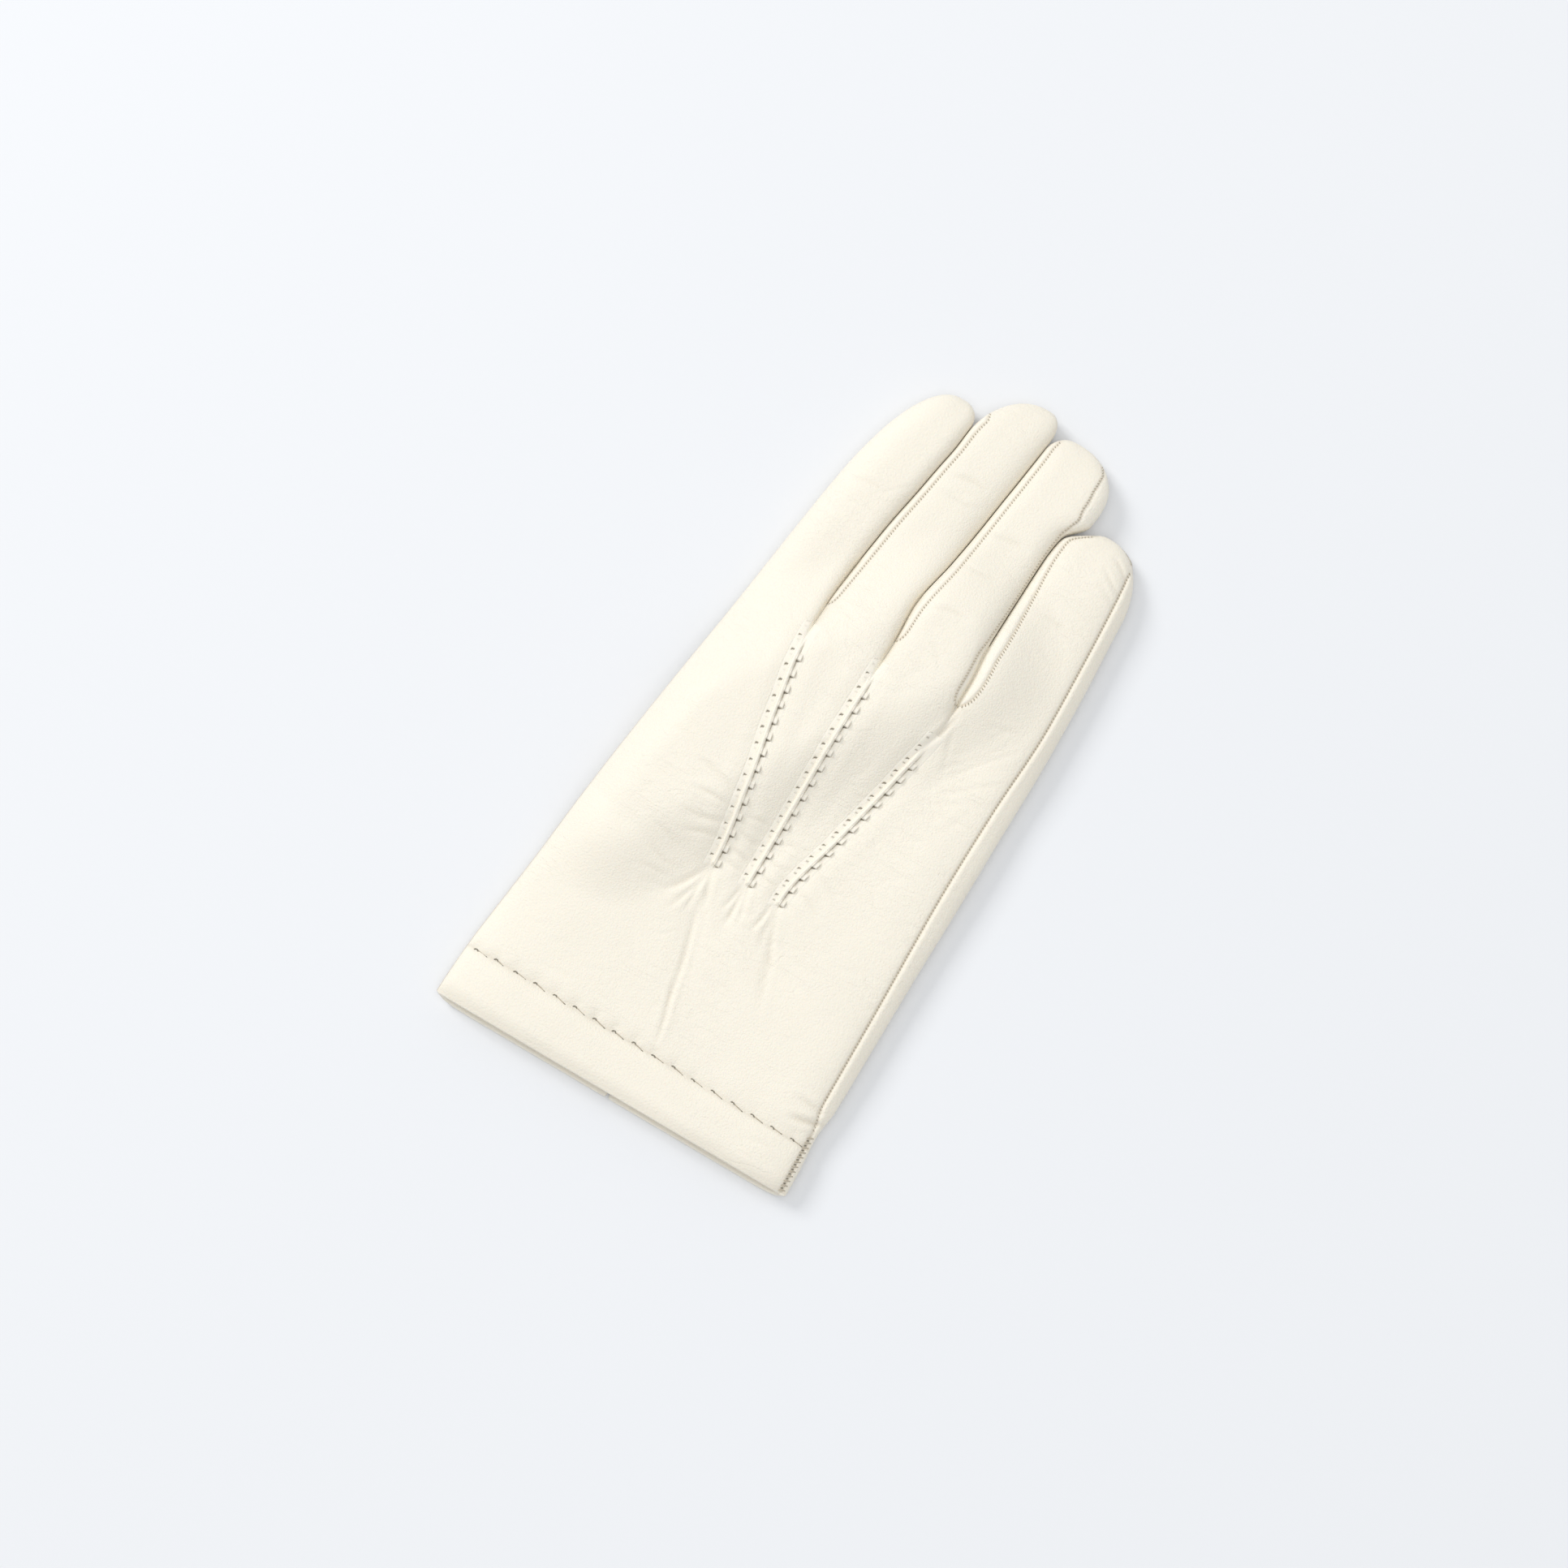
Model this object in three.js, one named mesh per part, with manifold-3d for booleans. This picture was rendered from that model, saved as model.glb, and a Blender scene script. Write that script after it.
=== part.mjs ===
// A right-hand dress glove of ivory leather, lying palm down with its thumb folded under the palm.
// Millimetres, +Z up. The fingers point to +Y and the index finger is on the -X side.
// Plan positions are drawn from the middle of the cuff's edge. The whole glove is centred at the end.
import * as THREE from "three";
import { mergeVertices } from "three/addons/utils/BufferGeometryUtils.js";
import Module from "manifold-3d";

const wasm = await Module();
wasm.setup();

// Driving dimensions
const WALL = 1.5; // leather and its knitted backing
const HEM_WALL = 2.0; // the cuff's edge is folded in once
const HEM_DEPTH = 17; // cuff edge to the hem's stitch line
const MOUTH_STEP = 1.5; // the palm side is this much longer than the back at the mouth
const PIECE_GAP = 0.3; // clearance between sewn pieces
const SLIT = 0.6; // space between neighbouring fingers
const SLIT_ROUND = 3; // length over which a slit opens to its full width
const ROUNDNESS = 2.3; // exponent of the rounded sides, 2 being an ellipse
const TIP_ROUNDNESS = 2.2;
const FOLD_ROUND_WIDTH = 24; // how far in from the index fold the hand is still rising
const SIDE_ROUND_WIDTH = 19;
const UNDER_ROUND_SHARE = 0.55; // the underside rounds up over this share of the same width
const VALLEY_POWER = 0.8; // the valleys of the back deepen faster than those of the palm
const LONGEST = 246.6; // cuff edge to the middle finger's tip
const KNUCKLES = [130, 176]; // where the hand's rounded edges turn into the fingers'
const BACK_PARTING = { y: 124, halfLength: 80 }; // a straight parting of the back, below the knuckles

// The two outer edges of the hand: the index fold and the edge beside the side seam.
const EDGES = [
  { y: -4, fold: -61.4, side: 60.4 },
  { y: 8, fold: -60.9, side: 60.2 },
  { y: 20, fold: -60.0, side: 59.5 },
  { y: 30, fold: -58.8, side: 60.6 },
  { y: 50, fold: -56.3, side: 60.9 },
  { y: 75, fold: -53.4, side: 61.2 },
  { y: 100, fold: -50.0, side: 61.8 },
  { y: 125, fold: -46.5, side: 62.2 },
  { y: 150, fold: -43.0, side: 62.7 },
  { y: 175, fold: -39.6, side: 62.3 },
  { y: 200, fold: -35.8, side: 61.2 },
  { y: 215, fold: -32.6, side: 61.0 },
  { y: 250, fold: -27.0, side: 61.0 },
];

// The lines between the fingers. Below the knuckles they follow the three points down to the cuff.
const GAP_LINES = [
  { y: -4, indexMiddle: -20.0, middleRing: 1.0, ringLittle: 22.0 },
  { y: 30, indexMiddle: -13.5, middleRing: 2.2, ringLittle: 17.5 },
  { y: 60, indexMiddle: -9.0, middleRing: 3.0, ringLittle: 14.0 },
  { y: 76, indexMiddle: -8.5, middleRing: 3.4, ringLittle: 14.3 },
  { y: 100, indexMiddle: -11.3, middleRing: 3.7, ringLittle: 20.0 },
  { y: 125, indexMiddle: -15.8, middleRing: 3.9, ringLittle: 26.0 },
  { y: 148, indexMiddle: -18.8, middleRing: 4.6, ringLittle: 30.6 },
  { y: 161, indexMiddle: -18.6, middleRing: 4.9, ringLittle: 30.8 },
  { y: 171, indexMiddle: -17.8, middleRing: 4.5, ringLittle: 30.1 },
  { y: 190, indexMiddle: -15.2, middleRing: 7.6, ringLittle: 30.5 },
  { y: 205, indexMiddle: -12.4, middleRing: 9.9, ringLittle: 31.1 },
  { y: 214, indexMiddle: -10.8, middleRing: 11.2, ringLittle: 32.4 },
  { y: 222, indexMiddle: -9.3, middleRing: 12.4, ringLittle: 38.4 },
  { y: 235, indexMiddle: -7.9, middleRing: 14.2, ringLittle: 39.4 },
  { y: 250, indexMiddle: -6.0, middleRing: 16.0, ringLittle: 39.4 },
];

// Half heights of the hand and fingers above and below their middle level.
const HEIGHTS = [
  { y: -4, above: 4.7, below: 4.6 },
  { y: 13, above: 5.0, below: 4.7 },
  { y: 17, above: 4.5, below: 4.7 },
  { y: 22, above: 5.1, below: 4.7 },
  { y: 60, above: 5.7, below: 4.9 },
  { y: 110, above: 6.2, below: 5.0 },
  { y: 160, above: 6.5, below: 4.9 },
  { y: 190, above: 6.6, below: 4.8 },
  { y: 250, above: 6.2, below: 4.5 },
];

// Each finger's tip, and where its sides and its height start to round off to it.
const FINGERS = [
  { name: "index", tipX: -15.5, tipY: 236.5, roundLeft: 207, roundRight: 229, roundHeight: 219 },
  { name: "middle", tipX: 9.5, tipY: LONGEST, roundLeft: 226, roundRight: 238, roundHeight: 229 },
  { name: "ring", tipX: 22, tipY: 242.2, roundLeft: 235, roundRight: 226, roundHeight: 225 },
  { name: "little", tipX: 45, tipY: 221.6, roundLeft: 212, roundRight: 199, roundHeight: 204 },
];

// Each gap's line, where its slit starts, and where the valley over it starts on the back and palm.
const GAPS = [
  { name: "index_middle", line: "indexMiddle", slit: 177.5, backValley: 140, palmValley: 168 },
  { name: "middle_ring", line: "middleRing", slit: 177.5, backValley: 140, palmValley: 168 },
  { name: "ring_little", line: "ringLittle", slit: 173, backValley: 137, palmValley: 164 },
];

// Each fourchette's seams: how far the strip reaches round onto each finger, on the back and palm.
const BACK_SEAMS = {
  index_middle: [
    { y: 160, left: 1.4, right: 1.6 },
    { y: 178, left: 1.8, right: 2.0 },
    { y: 233, left: 1.8, right: 1.8 },
  ],
  middle_ring: [
    { y: 160, left: 1.4, right: 1.6 },
    { y: 178, left: 1.8, right: 2.6 },
    { y: 205, left: 1.8, right: 2.0 },
    { y: 238, left: 1.6, right: 1.8 },
  ],
  ring_little: [
    { y: 152.5, left: 1.8, right: 2.6 },
    { y: 165, left: 1.8, right: 4.2 },
    { y: 180, left: 1.8, right: 4.3 },
    { y: 205, left: 1.8, right: 2.4 },
    { y: 217, left: 2.4, right: 1.8 },
    { y: 226, left: 4.6, right: 1.8 },
    { y: 236, left: 4.2, right: 1.8 },
  ],
};
const PALM_SEAMS = {
  index_middle: [
    { y: 176, left: 4.6, right: 2.6 },
    { y: 205, left: 5.2, right: 2.8 },
    { y: 233, left: 3.6, right: 2.2 },
  ],
  middle_ring: [
    { y: 176, left: 2.2, right: 2.0 },
    { y: 238, left: 2.0, right: 1.8 },
  ],
  ring_little: [
    { y: 171, left: 2.8, right: 2.0 },
    { y: 236, left: 3.4, right: 1.8 },
  ],
};
const SEAM_ROUND = 5; // length of the round end at a fourchette's crotch
const SEAM_RUNOUT = 8; // a fourchette narrows to the slit over this length past its last row
const CROTCH_HEIGHT = 0.6; // the back and palm seams overlap this much at the crotch

// The thumb's spine in plan, from its base seam to the middle of its round tip.
const THUMB = [
  { x: -39.5, y: 74, halfWidth: 6.5, thick: 4.6 },
  { x: -37.0, y: 84, halfWidth: 11.3, thick: 6.4 },
  { x: -31.8, y: 97, halfWidth: 15.8, thick: 7.6 },
  { x: -23.5, y: 112, halfWidth: 18.2, thick: 7.9 },
  { x: -12.0, y: 128.5, halfWidth: 18.0, thick: 7.9 },
  { x: 2.5, y: 147, halfWidth: 16.8, thick: 7.8 },
  { x: 18.0, y: 165, halfWidth: 15.7, thick: 7.6 },
];
const THUMB_TIP = 15.7; // radius of the thumb's round tip in plan
const THUMB_TIP_TURNS = [25, 50, 70, 84]; // sections of the round tip, in degrees
const THUMB_SQUARENESS = 2.5; // exponent of its flat section
const THUMB_POCKET_START = 0.12; // its hollow starts this share along the spine
const THUMB_OFF_FLOOR = 0.02;
const PALM_OVER_THUMB = 0.8; // clearance of the palm over the thumb
const LIFT_FLAT = 0.6; // the palm lies on the thumb out to this share of its half width
const LIFT_REACH = 22; // and comes down to the floor this far past its edge
const FOLD_DROOP = 0.3; // the index fold hangs this share lower than the palm beside it
const FOLD_DROOP_WIDTH = 13;
const THUMB_HOLE = { x: -30.5, y: 97, halfWidth: 8.5, halfLength: 15, lean: -0.42, along: 0.45, sides: 20 };
const NECK_WALL = 1.2; // the turned-in seam between the thumb and the palm

// The quirk: a small diamond let into the palm at the thumb's crotch.
const QUIRK = [
  { x: -27.0, y: 143.0 },
  { x: -17.0, y: 147.5 },
  { x: -12.5, y: 157.0 },
  { x: -24.0, y: 155.5 },
];

// The points: three raised tucks on the back, each edged with short pads of stitching.
const POINTS = [
  { name: "point_index", line: "indexMiddle", low: 75, high: 146.5 },
  { name: "point_middle", line: "middleRing", low: 75, high: 147 },
  { name: "point_ring", line: "ringLittle", low: 75, high: 137 },
];
const RIDGE_HALF = 0.75;
const RIDGE_HEIGHT = 1.2;
const PAD_PITCH = 5.0;
const PAD_LENGTH = 2.8;
const PAD_REACH = 2.2; // how far a pad's outer side is from the tuck's middle line
const PAD_SHIFT = 0.37; // the right pads stand this share of the pitch after the left ones
const SEATING = 0.35; // the tucks' clearance over the back

// Soft folds of the back, each a furrow between two plan points.
const FOLDS = [
  { x1: -8, y1: 72, x2: 3, y2: 30, depth: 0.9, width: 4.0 },
  { x1: 15, y1: 72, x2: 26, y2: 46, depth: 0.6, width: 4.0 },
  { x1: -9, y1: 72, x2: -24, y2: 56, depth: 0.6, width: 3.6 },
  { x1: 3, y1: 73, x2: 4, y2: 54, depth: 0.5, width: 3.2 },
];

// The side seam on the back, from the cuff to the little finger's tip.
const SIDE_SEAM = [
  { y: -2, x: 58.4 },
  { y: 20, x: 57.8 },
  { y: 30, x: 56.2 },
  { y: 60, x: 56.0 },
  { y: 100, x: 55.5 },
  { y: 130, x: 56.2 },
  { y: 160, x: 57.8 },
  { y: 185, x: 57.2 },
  { y: 205, x: 56.3 },
  { y: 214, x: 55.6 },
];
const GROOVE_HALF = 0.4;
const GROOVE_DEPTH = 0.7;
const GROOVE_STEP = 12;

// The vent in the palm side of the cuff, with a binding along each of its edges.
const VENT = { x: -1, length: 45, slit: 0.8, binding: 3.0 };

// Heights that clear the whole glove, for what is cut out of it
const OVER = 60;
const UNDER = -10;

// Mesh steps
const OUTER_ROWS = [0, 8, 17, 24, 34, 46, 58, 70, 82, 94, 106, 118, 130, 141, 150, 160, 169];
const INNER_ROWS = [-2, 16.8, 17.2, 34, 52, 70, 86, 102, 118, 133, 147, 160, 169];
const OUTER_STEPS = { columns: 6, fingerRows: 10, handRows: OUTER_ROWS };
const INNER_STEPS = { columns: 5, fingerRows: 7, handRows: INNER_ROWS };
const AROUND_THUMB = 14;
const THUMB_STEPS = 11;
const GAP_STEPS = 14;
const SPINE_STEPS = 60;
const LEVEL_STEPS = { across: 12, along: 22 };
const FLATNESS = 0.04; // corners are left out where that moves a face by less than this

const LEATHER = new THREE.MeshStandardMaterial({ color: 0xf4ecdc, roughness: 0.55, metalness: 0 });
const FOURCHETTE_LEATHER = new THREE.MeshStandardMaterial({ color: 0xf8f1e2, roughness: 0.55, metalness: 0 });
const STITCHED_LEATHER = new THREE.MeshStandardMaterial({ color: 0xefe6d4, roughness: 0.5, metalness: 0 });

const clamp = THREE.MathUtils.clamp;
const smooth = (from, to, value) => {
  const t = clamp((value - from) / (to - from), 0, 1);
  return t * t * (3 - 2 * t);
};

// A smooth curve through one column of a table: cubic between rows, with limited slopes.
function column(rows, key, along = "y") {
  const at = rows.map((row) => row[along]);
  const value = rows.map((row) => row[key]);
  const step = at.slice(1).map((a, i) => (value[i + 1] - value[i]) / (a - at[i]));
  const slope = value.map((_, i) => {
    if (i === 0) return step[0];
    if (i === value.length - 1) return step[i - 1];
    if (step[i - 1] * step[i] <= 0) return 0;
    return (2 * step[i - 1] * step[i]) / (step[i - 1] + step[i]);
  });
  return (y) => {
    const inside = clamp(y, at[0], at[at.length - 1]);
    let i = 0;
    while (i < at.length - 2 && inside > at[i + 1]) i += 1;
    const length = at[i + 1] - at[i];
    const t = (inside - at[i]) / length;
    const rise = value[i + 1] - value[i];
    const a = slope[i] * length - rise;
    const b = rise - slope[i + 1] * length;
    return value[i] + rise * t + t * (1 - t) * (a * (1 - t) + b * t);
  };
}

const foldEdge = column(EDGES, "fold");
const sideEdge = column(EDGES, "side");
const gapLines = GAPS.map((gap) => column(GAP_LINES, gap.line));
const above = column(HEIGHTS, "above");
const below = column(HEIGHTS, "below");

// Rise of a rounded side: 0 at the edge and 1 from the stated width on.
function rounded(distance, width, power = ROUNDNESS) {
  const t = clamp(distance / Math.max(width, 1e-6), 0, 1);
  return (1 - (1 - t) ** power) ** (1 / power);
}

// How far a thing has closed at y, going from 1 where it starts to round to 0 at its tip.
function closing(y, start, tip) {
  const t = clamp((y - start) / (tip - start), 0, 1);
  return (1 - t ** TIP_ROUNDNESS) ** (1 / TIP_ROUNDNESS);
}

// The thumb's nearest spine point under a plan point, with the thumb's size there.
const thumbSpine = new THREE.CatmullRomCurve3(THUMB.map((row) => new THREE.Vector3(row.x, row.y, 0)));
const spineSamples = thumbSpine.getPoints(SPINE_STEPS).map((point, i) => ({ point, t: i / SPINE_STEPS }));
const alongThumb = THUMB.map((row, i) => ({ ...row, t: i / (THUMB.length - 1) }));
const thumbHalfWidth = column(alongThumb, "halfWidth", "t");
const thumbThick = column(alongThumb, "thick", "t");

// How much the thumb lifts the hand off the floor at a plan point.
function lift(x, y) {
  let nearest = Infinity;
  let t = 0;
  for (const sample of spineSamples) {
    const distance = Math.hypot(x - sample.point.x, y - sample.point.y);
    if (distance < nearest) {
      nearest = distance;
      t = sample.t;
    }
  }
  const halfWidth = thumbHalfWidth(t);
  const down = smooth(LIFT_FLAT * halfWidth, halfWidth + LIFT_REACH, nearest);
  const droop = FOLD_DROOP * (1 - smooth(0, FOLD_DROOP_WIDTH, x - foldEdge(y)));
  return (thumbThick(t) + PALM_OVER_THUMB) * (1 - down) * (1 - droop);
}

// Depth of the soft folds of the back at a plan point.
function folds(x, y) {
  let depth = 0;
  for (const fold of FOLDS) {
    const dx = fold.x2 - fold.x1;
    const dy = fold.y2 - fold.y1;
    const t = clamp(((x - fold.x1) * dx + (y - fold.y1) * dy) / (dx * dx + dy * dy), 0, 1);
    const away = Math.hypot(x - fold.x1 - t * dx, y - fold.y1 - t * dy) / fold.width;
    depth += fold.depth * Math.exp(-away * away) * Math.sin(Math.PI * (0.15 + 0.85 * t));
  }
  return depth;
}

// Left and right side of finger i at y. Below the knuckles neighbours share one line.
function sidesOf(i, y, inset) {
  const finger = FINGERS[i];
  const open = (gap) => {
    const start = GAPS[gap].slit - inset;
    if (y <= start) return 0;
    return (SLIT / 2 + inset) * Math.sqrt(1 - (1 - clamp((y - start) / SLIT_ROUND, 0, 1)) ** 2);
  };
  const left = i === 0 ? foldEdge(y) + inset : gapLines[i - 1](y) + open(i - 1);
  const right = i === 3 ? sideEdge(y) - inset : gapLines[i](y) - open(i);
  const tipY = finger.tipY - inset;
  return {
    left: finger.tipX + (left - finger.tipX) * closing(y, finger.roundLeft, tipY),
    right: finger.tipX + (right - finger.tipX) * closing(y, finger.roundRight, tipY),
  };
}

// How full the glove is at a distance from each side of finger i: 0 at an edge, 1 in the middle.
function fullness(i, y, fromLeft, fromRight, inset, under) {
  const half = (fromLeft + fromRight) / 2;
  const share = under ? UNDER_ROUND_SHARE : 1;
  const outer = (width) => THREE.MathUtils.lerp(width, half, smooth(...KNUCKLES, y)) * share;
  const valley = (gap, distance) => {
    const start = under ? GAPS[gap].palmValley : GAPS[gap].backValley;
    const depth = smooth(start, GAPS[gap].slit - inset, y) ** (under ? 1 : VALLEY_POWER);
    return 1 - depth * (1 - rounded(distance, half * share));
  };
  const left = i === 0 ? rounded(fromLeft, outer(FOLD_ROUND_WIDTH)) : valley(i - 1, fromLeft);
  const right = i === 3 ? rounded(fromRight, outer(SIDE_ROUND_WIDTH)) : valley(i, fromRight);
  return left * right * closing(y, FINGERS[i].roundHeight, FINGERS[i].tipY - inset);
}

// A point of the glove's surface, inset by a wall: finger i, share s across it, and y along it.
function surface(i, s, y, inset, under) {
  const { left, right } = sidesOf(i, y, inset);
  const x = left + (right - left) * s;
  const full = fullness(i, y, x - left, right - x, inset, under);
  const middle = below(y) + lift(x, y);
  if (under) {
    const back = MOUTH_STEP * full * (1 - smooth(0, HEM_DEPTH, y));
    return [x, y - back, middle - (below(y) - inset) * full];
  }
  return [x, y, middle + (above(y) - inset - folds(x, y)) * full];
}

// A closed mesh as a solid: equal corners merged, and faces without area left out.
function solidOf(geometry) {
  geometry.deleteAttribute("normal");
  geometry.deleteAttribute("uv");
  const merged = mergeVertices(geometry, 1e-3);
  const kept = [];
  const all = merged.index.array;
  for (let i = 0; i < all.length; i += 3) {
    const [a, b, c] = [all[i], all[i + 1], all[i + 2]];
    if (a !== b && b !== c && c !== a) kept.push(a, b, c);
  }
  return new wasm.Manifold(
    new wasm.Mesh({
      numProp: 3,
      vertProperties: merged.attributes.position.array,
      triVerts: new Uint32Array(kept),
    }),
  );
}

// Collects the triangles of a closed skin.
class Skin {
  constructor() {
    this.corners = [];
  }
  quad(a, b, c, d) {
    this.corners.push(...a, ...b, ...c, ...a, ...c, ...d);
  }
  grid(rows, turned) {
    for (let j = 0; j < rows.length - 1; j += 1) {
      for (let k = 0; k < rows[j].length - 1; k += 1) {
        const corners = [rows[j][k], rows[j][k + 1], rows[j + 1][k + 1], rows[j + 1][k]];
        this.quad(...(turned ? corners.reverse() : corners));
      }
    }
  }
  solid() {
    const geometry = new THREE.BufferGeometry();
    geometry.setAttribute("position", new THREE.Float32BufferAttribute(this.corners, 3));
    return solidOf(geometry);
  }
}

// A solid through rings of equal length, closed by a fan at each end.
function loft(rings) {
  const skin = new Skin();
  skin.grid(rings.map((ring) => [...ring, ring[0]]), false);
  const fan = (ring, turned) => {
    for (let k = 1; k < ring.length - 1; k += 1) {
      const [b, c] = turned ? [ring[k + 1], ring[k]] : [ring[k], ring[k + 1]];
      skin.corners.push(...ring[0], ...b, ...c);
    }
  };
  fan(rings[0], true);
  fan(rings[rings.length - 1], false);
  const made = skin.solid();
  if (made.volume() > 0) return made;
  return loft(rings.map((ring) => [...ring].reverse()));
}

const largest = (solid) => solid.decompose().sort((a, b) => b.volume() - a.volume())[0];

// The hand and fingers as one closed form, inset by a wall, lifted by a height.
function handForm(insetAt, { columns, fingerRows, handRows }, raise = 0) {
  const skin = new Skin();
  const inset = insetAt(LONGEST);
  const starts = GAPS.map((gap) => gap.slit - inset);
  const lastStart = Math.max(...starts);
  const common = [...new Set([...handRows, ...starts])].sort((a, b) => a - b);
  FINGERS.forEach((finger, i) => {
    const tip = finger.tipY - inset;
    const ys = common.filter((y) => y <= lastStart);
    for (let j = 1; j <= fingerRows; j += 1) {
      const t = j / fingerRows;
      ys.push(THREE.MathUtils.lerp(lastStart, tip, 0.25 * t + 0.75 * Math.sin((Math.PI / 2) * t)));
    }
    const shares = Array.from({ length: columns + 1 }, (_, k) => (1 - Math.cos((Math.PI * k) / columns)) / 2);
    const raised = ([x, y, z]) => [x, y, z + raise];
    const rowsOf = (under) => ys.map((y) => shares.map((s) => raised(surface(i, s, y, insetAt(y), under))));
    const back = rowsOf(false);
    const palm = rowsOf(true);
    skin.grid(back, false);
    skin.grid(palm, true);
    skin.grid([palm[0], back[0]], false);
  });
  return skin.solid();
}

// The strip of space that a fourchette takes between two fingers, grown by a clearance.
function gapSpace(gapIndex, seams, onBack, grow) {
  const lowest = seams[0].y;
  const highest = seams[seams.length - 1].y + SEAM_RUNOUT;
  const leftBand = column(seams, "left");
  const rightBand = column(seams, "right");
  const rings = [];
  for (let j = 0; j <= GAP_STEPS; j += 1) {
    const y = lowest + (highest - lowest) * (j / GAP_STEPS) ** 1.5;
    const round = Math.sqrt(1 - (1 - clamp((y - lowest) / SEAM_ROUND, 0, 1)) ** 2);
    const line = gapLines[gapIndex](y);
    const ending = 1 - smooth(highest - SEAM_RUNOUT, highest - SEAM_RUNOUT / 2, y);
    const left = line - (leftBand(y) * ending + SLIT / 2) * round - 0.02 - grow;
    const right = line + (rightBand(y) * ending + SLIT / 2) * round + 0.02 + grow;
    const middle = below(y) + lift(line, y);
    const shared = CROTCH_HEIGHT * smooth(GAPS[gapIndex].slit - 2, GAPS[gapIndex].slit, y);
    const [low, high] = onBack ? [middle - shared, OVER] : [UNDER, middle + shared];
    const ends = { [0]: -grow, [GAP_STEPS]: grow }[j] ?? 0;
    rings.push([
      [left, y + ends, low],
      [right, y + ends, low],
      [right, y + ends, high],
      [left, y + ends, high],
    ]);
  }
  return loft(rings);
}

const fourchetteSpace = (i, grow) =>
  gapSpace(i, BACK_SEAMS[GAPS[i].name], true, grow).add(gapSpace(i, PALM_SEAMS[GAPS[i].name], false, grow));

// A thin sheet of space over the whole plan, at the level where the glove's back and palm meet.
function levelSheet() {
  const { across, along } = LEVEL_STEPS;
  const corner = (j, k, shift) => {
    const x = THREE.MathUtils.lerp(-70, 70, k / across);
    const y = THREE.MathUtils.lerp(-12, 256, j / along);
    return [x, y, below(y) + lift(x, y) + shift];
  };
  const top = (j, k) => corner(j, k, PIECE_GAP / 2);
  const bottom = (j, k) => corner(j, k, -PIECE_GAP / 2);
  const skin = new Skin();
  const border = [];
  for (let j = 0; j < along; j += 1) {
    for (let k = 0; k < across; k += 1) {
      skin.quad(top(j, k), top(j, k + 1), top(j + 1, k + 1), top(j + 1, k));
      skin.quad(bottom(j, k), bottom(j + 1, k), bottom(j + 1, k + 1), bottom(j, k + 1));
    }
  }
  for (let k = 0; k < across; k += 1) border.push([0, k]);
  for (let j = 0; j < along; j += 1) border.push([j, across]);
  for (let k = across; k > 0; k -= 1) border.push([along, k]);
  for (let j = along; j >= 0; j -= 1) border.push([j, 0]);
  skin.grid([border.map(([j, k]) => bottom(j, k)), border.map(([j, k]) => top(j, k))], false);
  return skin.solid();
}

// A thin cutter that sinks a groove into the back along a list of plan points.
function backGroove(points) {
  const rings = points.map(([x, y], j) => {
    const next = points[Math.min(j + 1, points.length - 1)];
    const last = points[Math.max(j - 1, 0)];
    const length = Math.hypot(next[0] - last[0], next[1] - last[1]);
    const [nx, ny] = [(last[1] - next[1]) / length, (next[0] - last[0]) / length];
    const floor = backHeight(x, y) - GROOVE_DEPTH;
    return [
      [x + nx * GROOVE_HALF, y + ny * GROOVE_HALF, floor],
      [x - nx * GROOVE_HALF, y - ny * GROOVE_HALF, floor],
      [x - nx * GROOVE_HALF, y - ny * GROOVE_HALF, OVER],
      [x + nx * GROOVE_HALF, y + ny * GROOVE_HALF, OVER],
    ];
  });
  return loft(rings);
}

// Height of the back over a plan point of the hand or of a finger.
function backHeight(x, y) {
  for (let i = 0; i < FINGERS.length; i += 1) {
    const { left, right } = sidesOf(i, y, 0);
    if (x >= left && x <= right) return surface(i, (x - left) / (right - left), y, 0, false)[2];
  }
  return below(y) + lift(x, y);
}

// A closed prism over a plan outline, between two heights.
function prism(outline, low, high) {
  const contour = outline.map(([x, y]) => new THREE.Vector2(x, y));
  const shape = new THREE.Shape(contour);
  const geometry = new THREE.ExtrudeGeometry(shape, { depth: high - low, bevelEnabled: false });
  return solidOf(geometry.translate(0, 0, low));
}

// The outline of one point: a narrow tuck with square pads down both its sides.
function pointOutline(point) {
  const line = column(GAP_LINES, point.line);
  const side = (sign, shift) => {
    const reach = [[point.low, RIDGE_HALF]];
    for (let y = point.low + shift; y + PAD_LENGTH < point.high; y += PAD_PITCH) {
      reach.push([y, RIDGE_HALF], [y, PAD_REACH]);
      reach.push([y + PAD_LENGTH, PAD_REACH], [y + PAD_LENGTH, RIDGE_HALF]);
    }
    reach.push([point.high, RIDGE_HALF / 2]);
    return reach.map(([y, out]) => [line(y) + sign * out, y]);
  };
  return [...side(1, 0.6 + PAD_SHIFT * PAD_PITCH), ...side(-1, 0.6).reverse()];
}

// A cosine or sine pushed out from a circle's to a rounder square's.
const squared = (value) => Math.sign(value) * Math.abs(value) ** (2 / THUMB_SQUARENESS);

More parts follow.
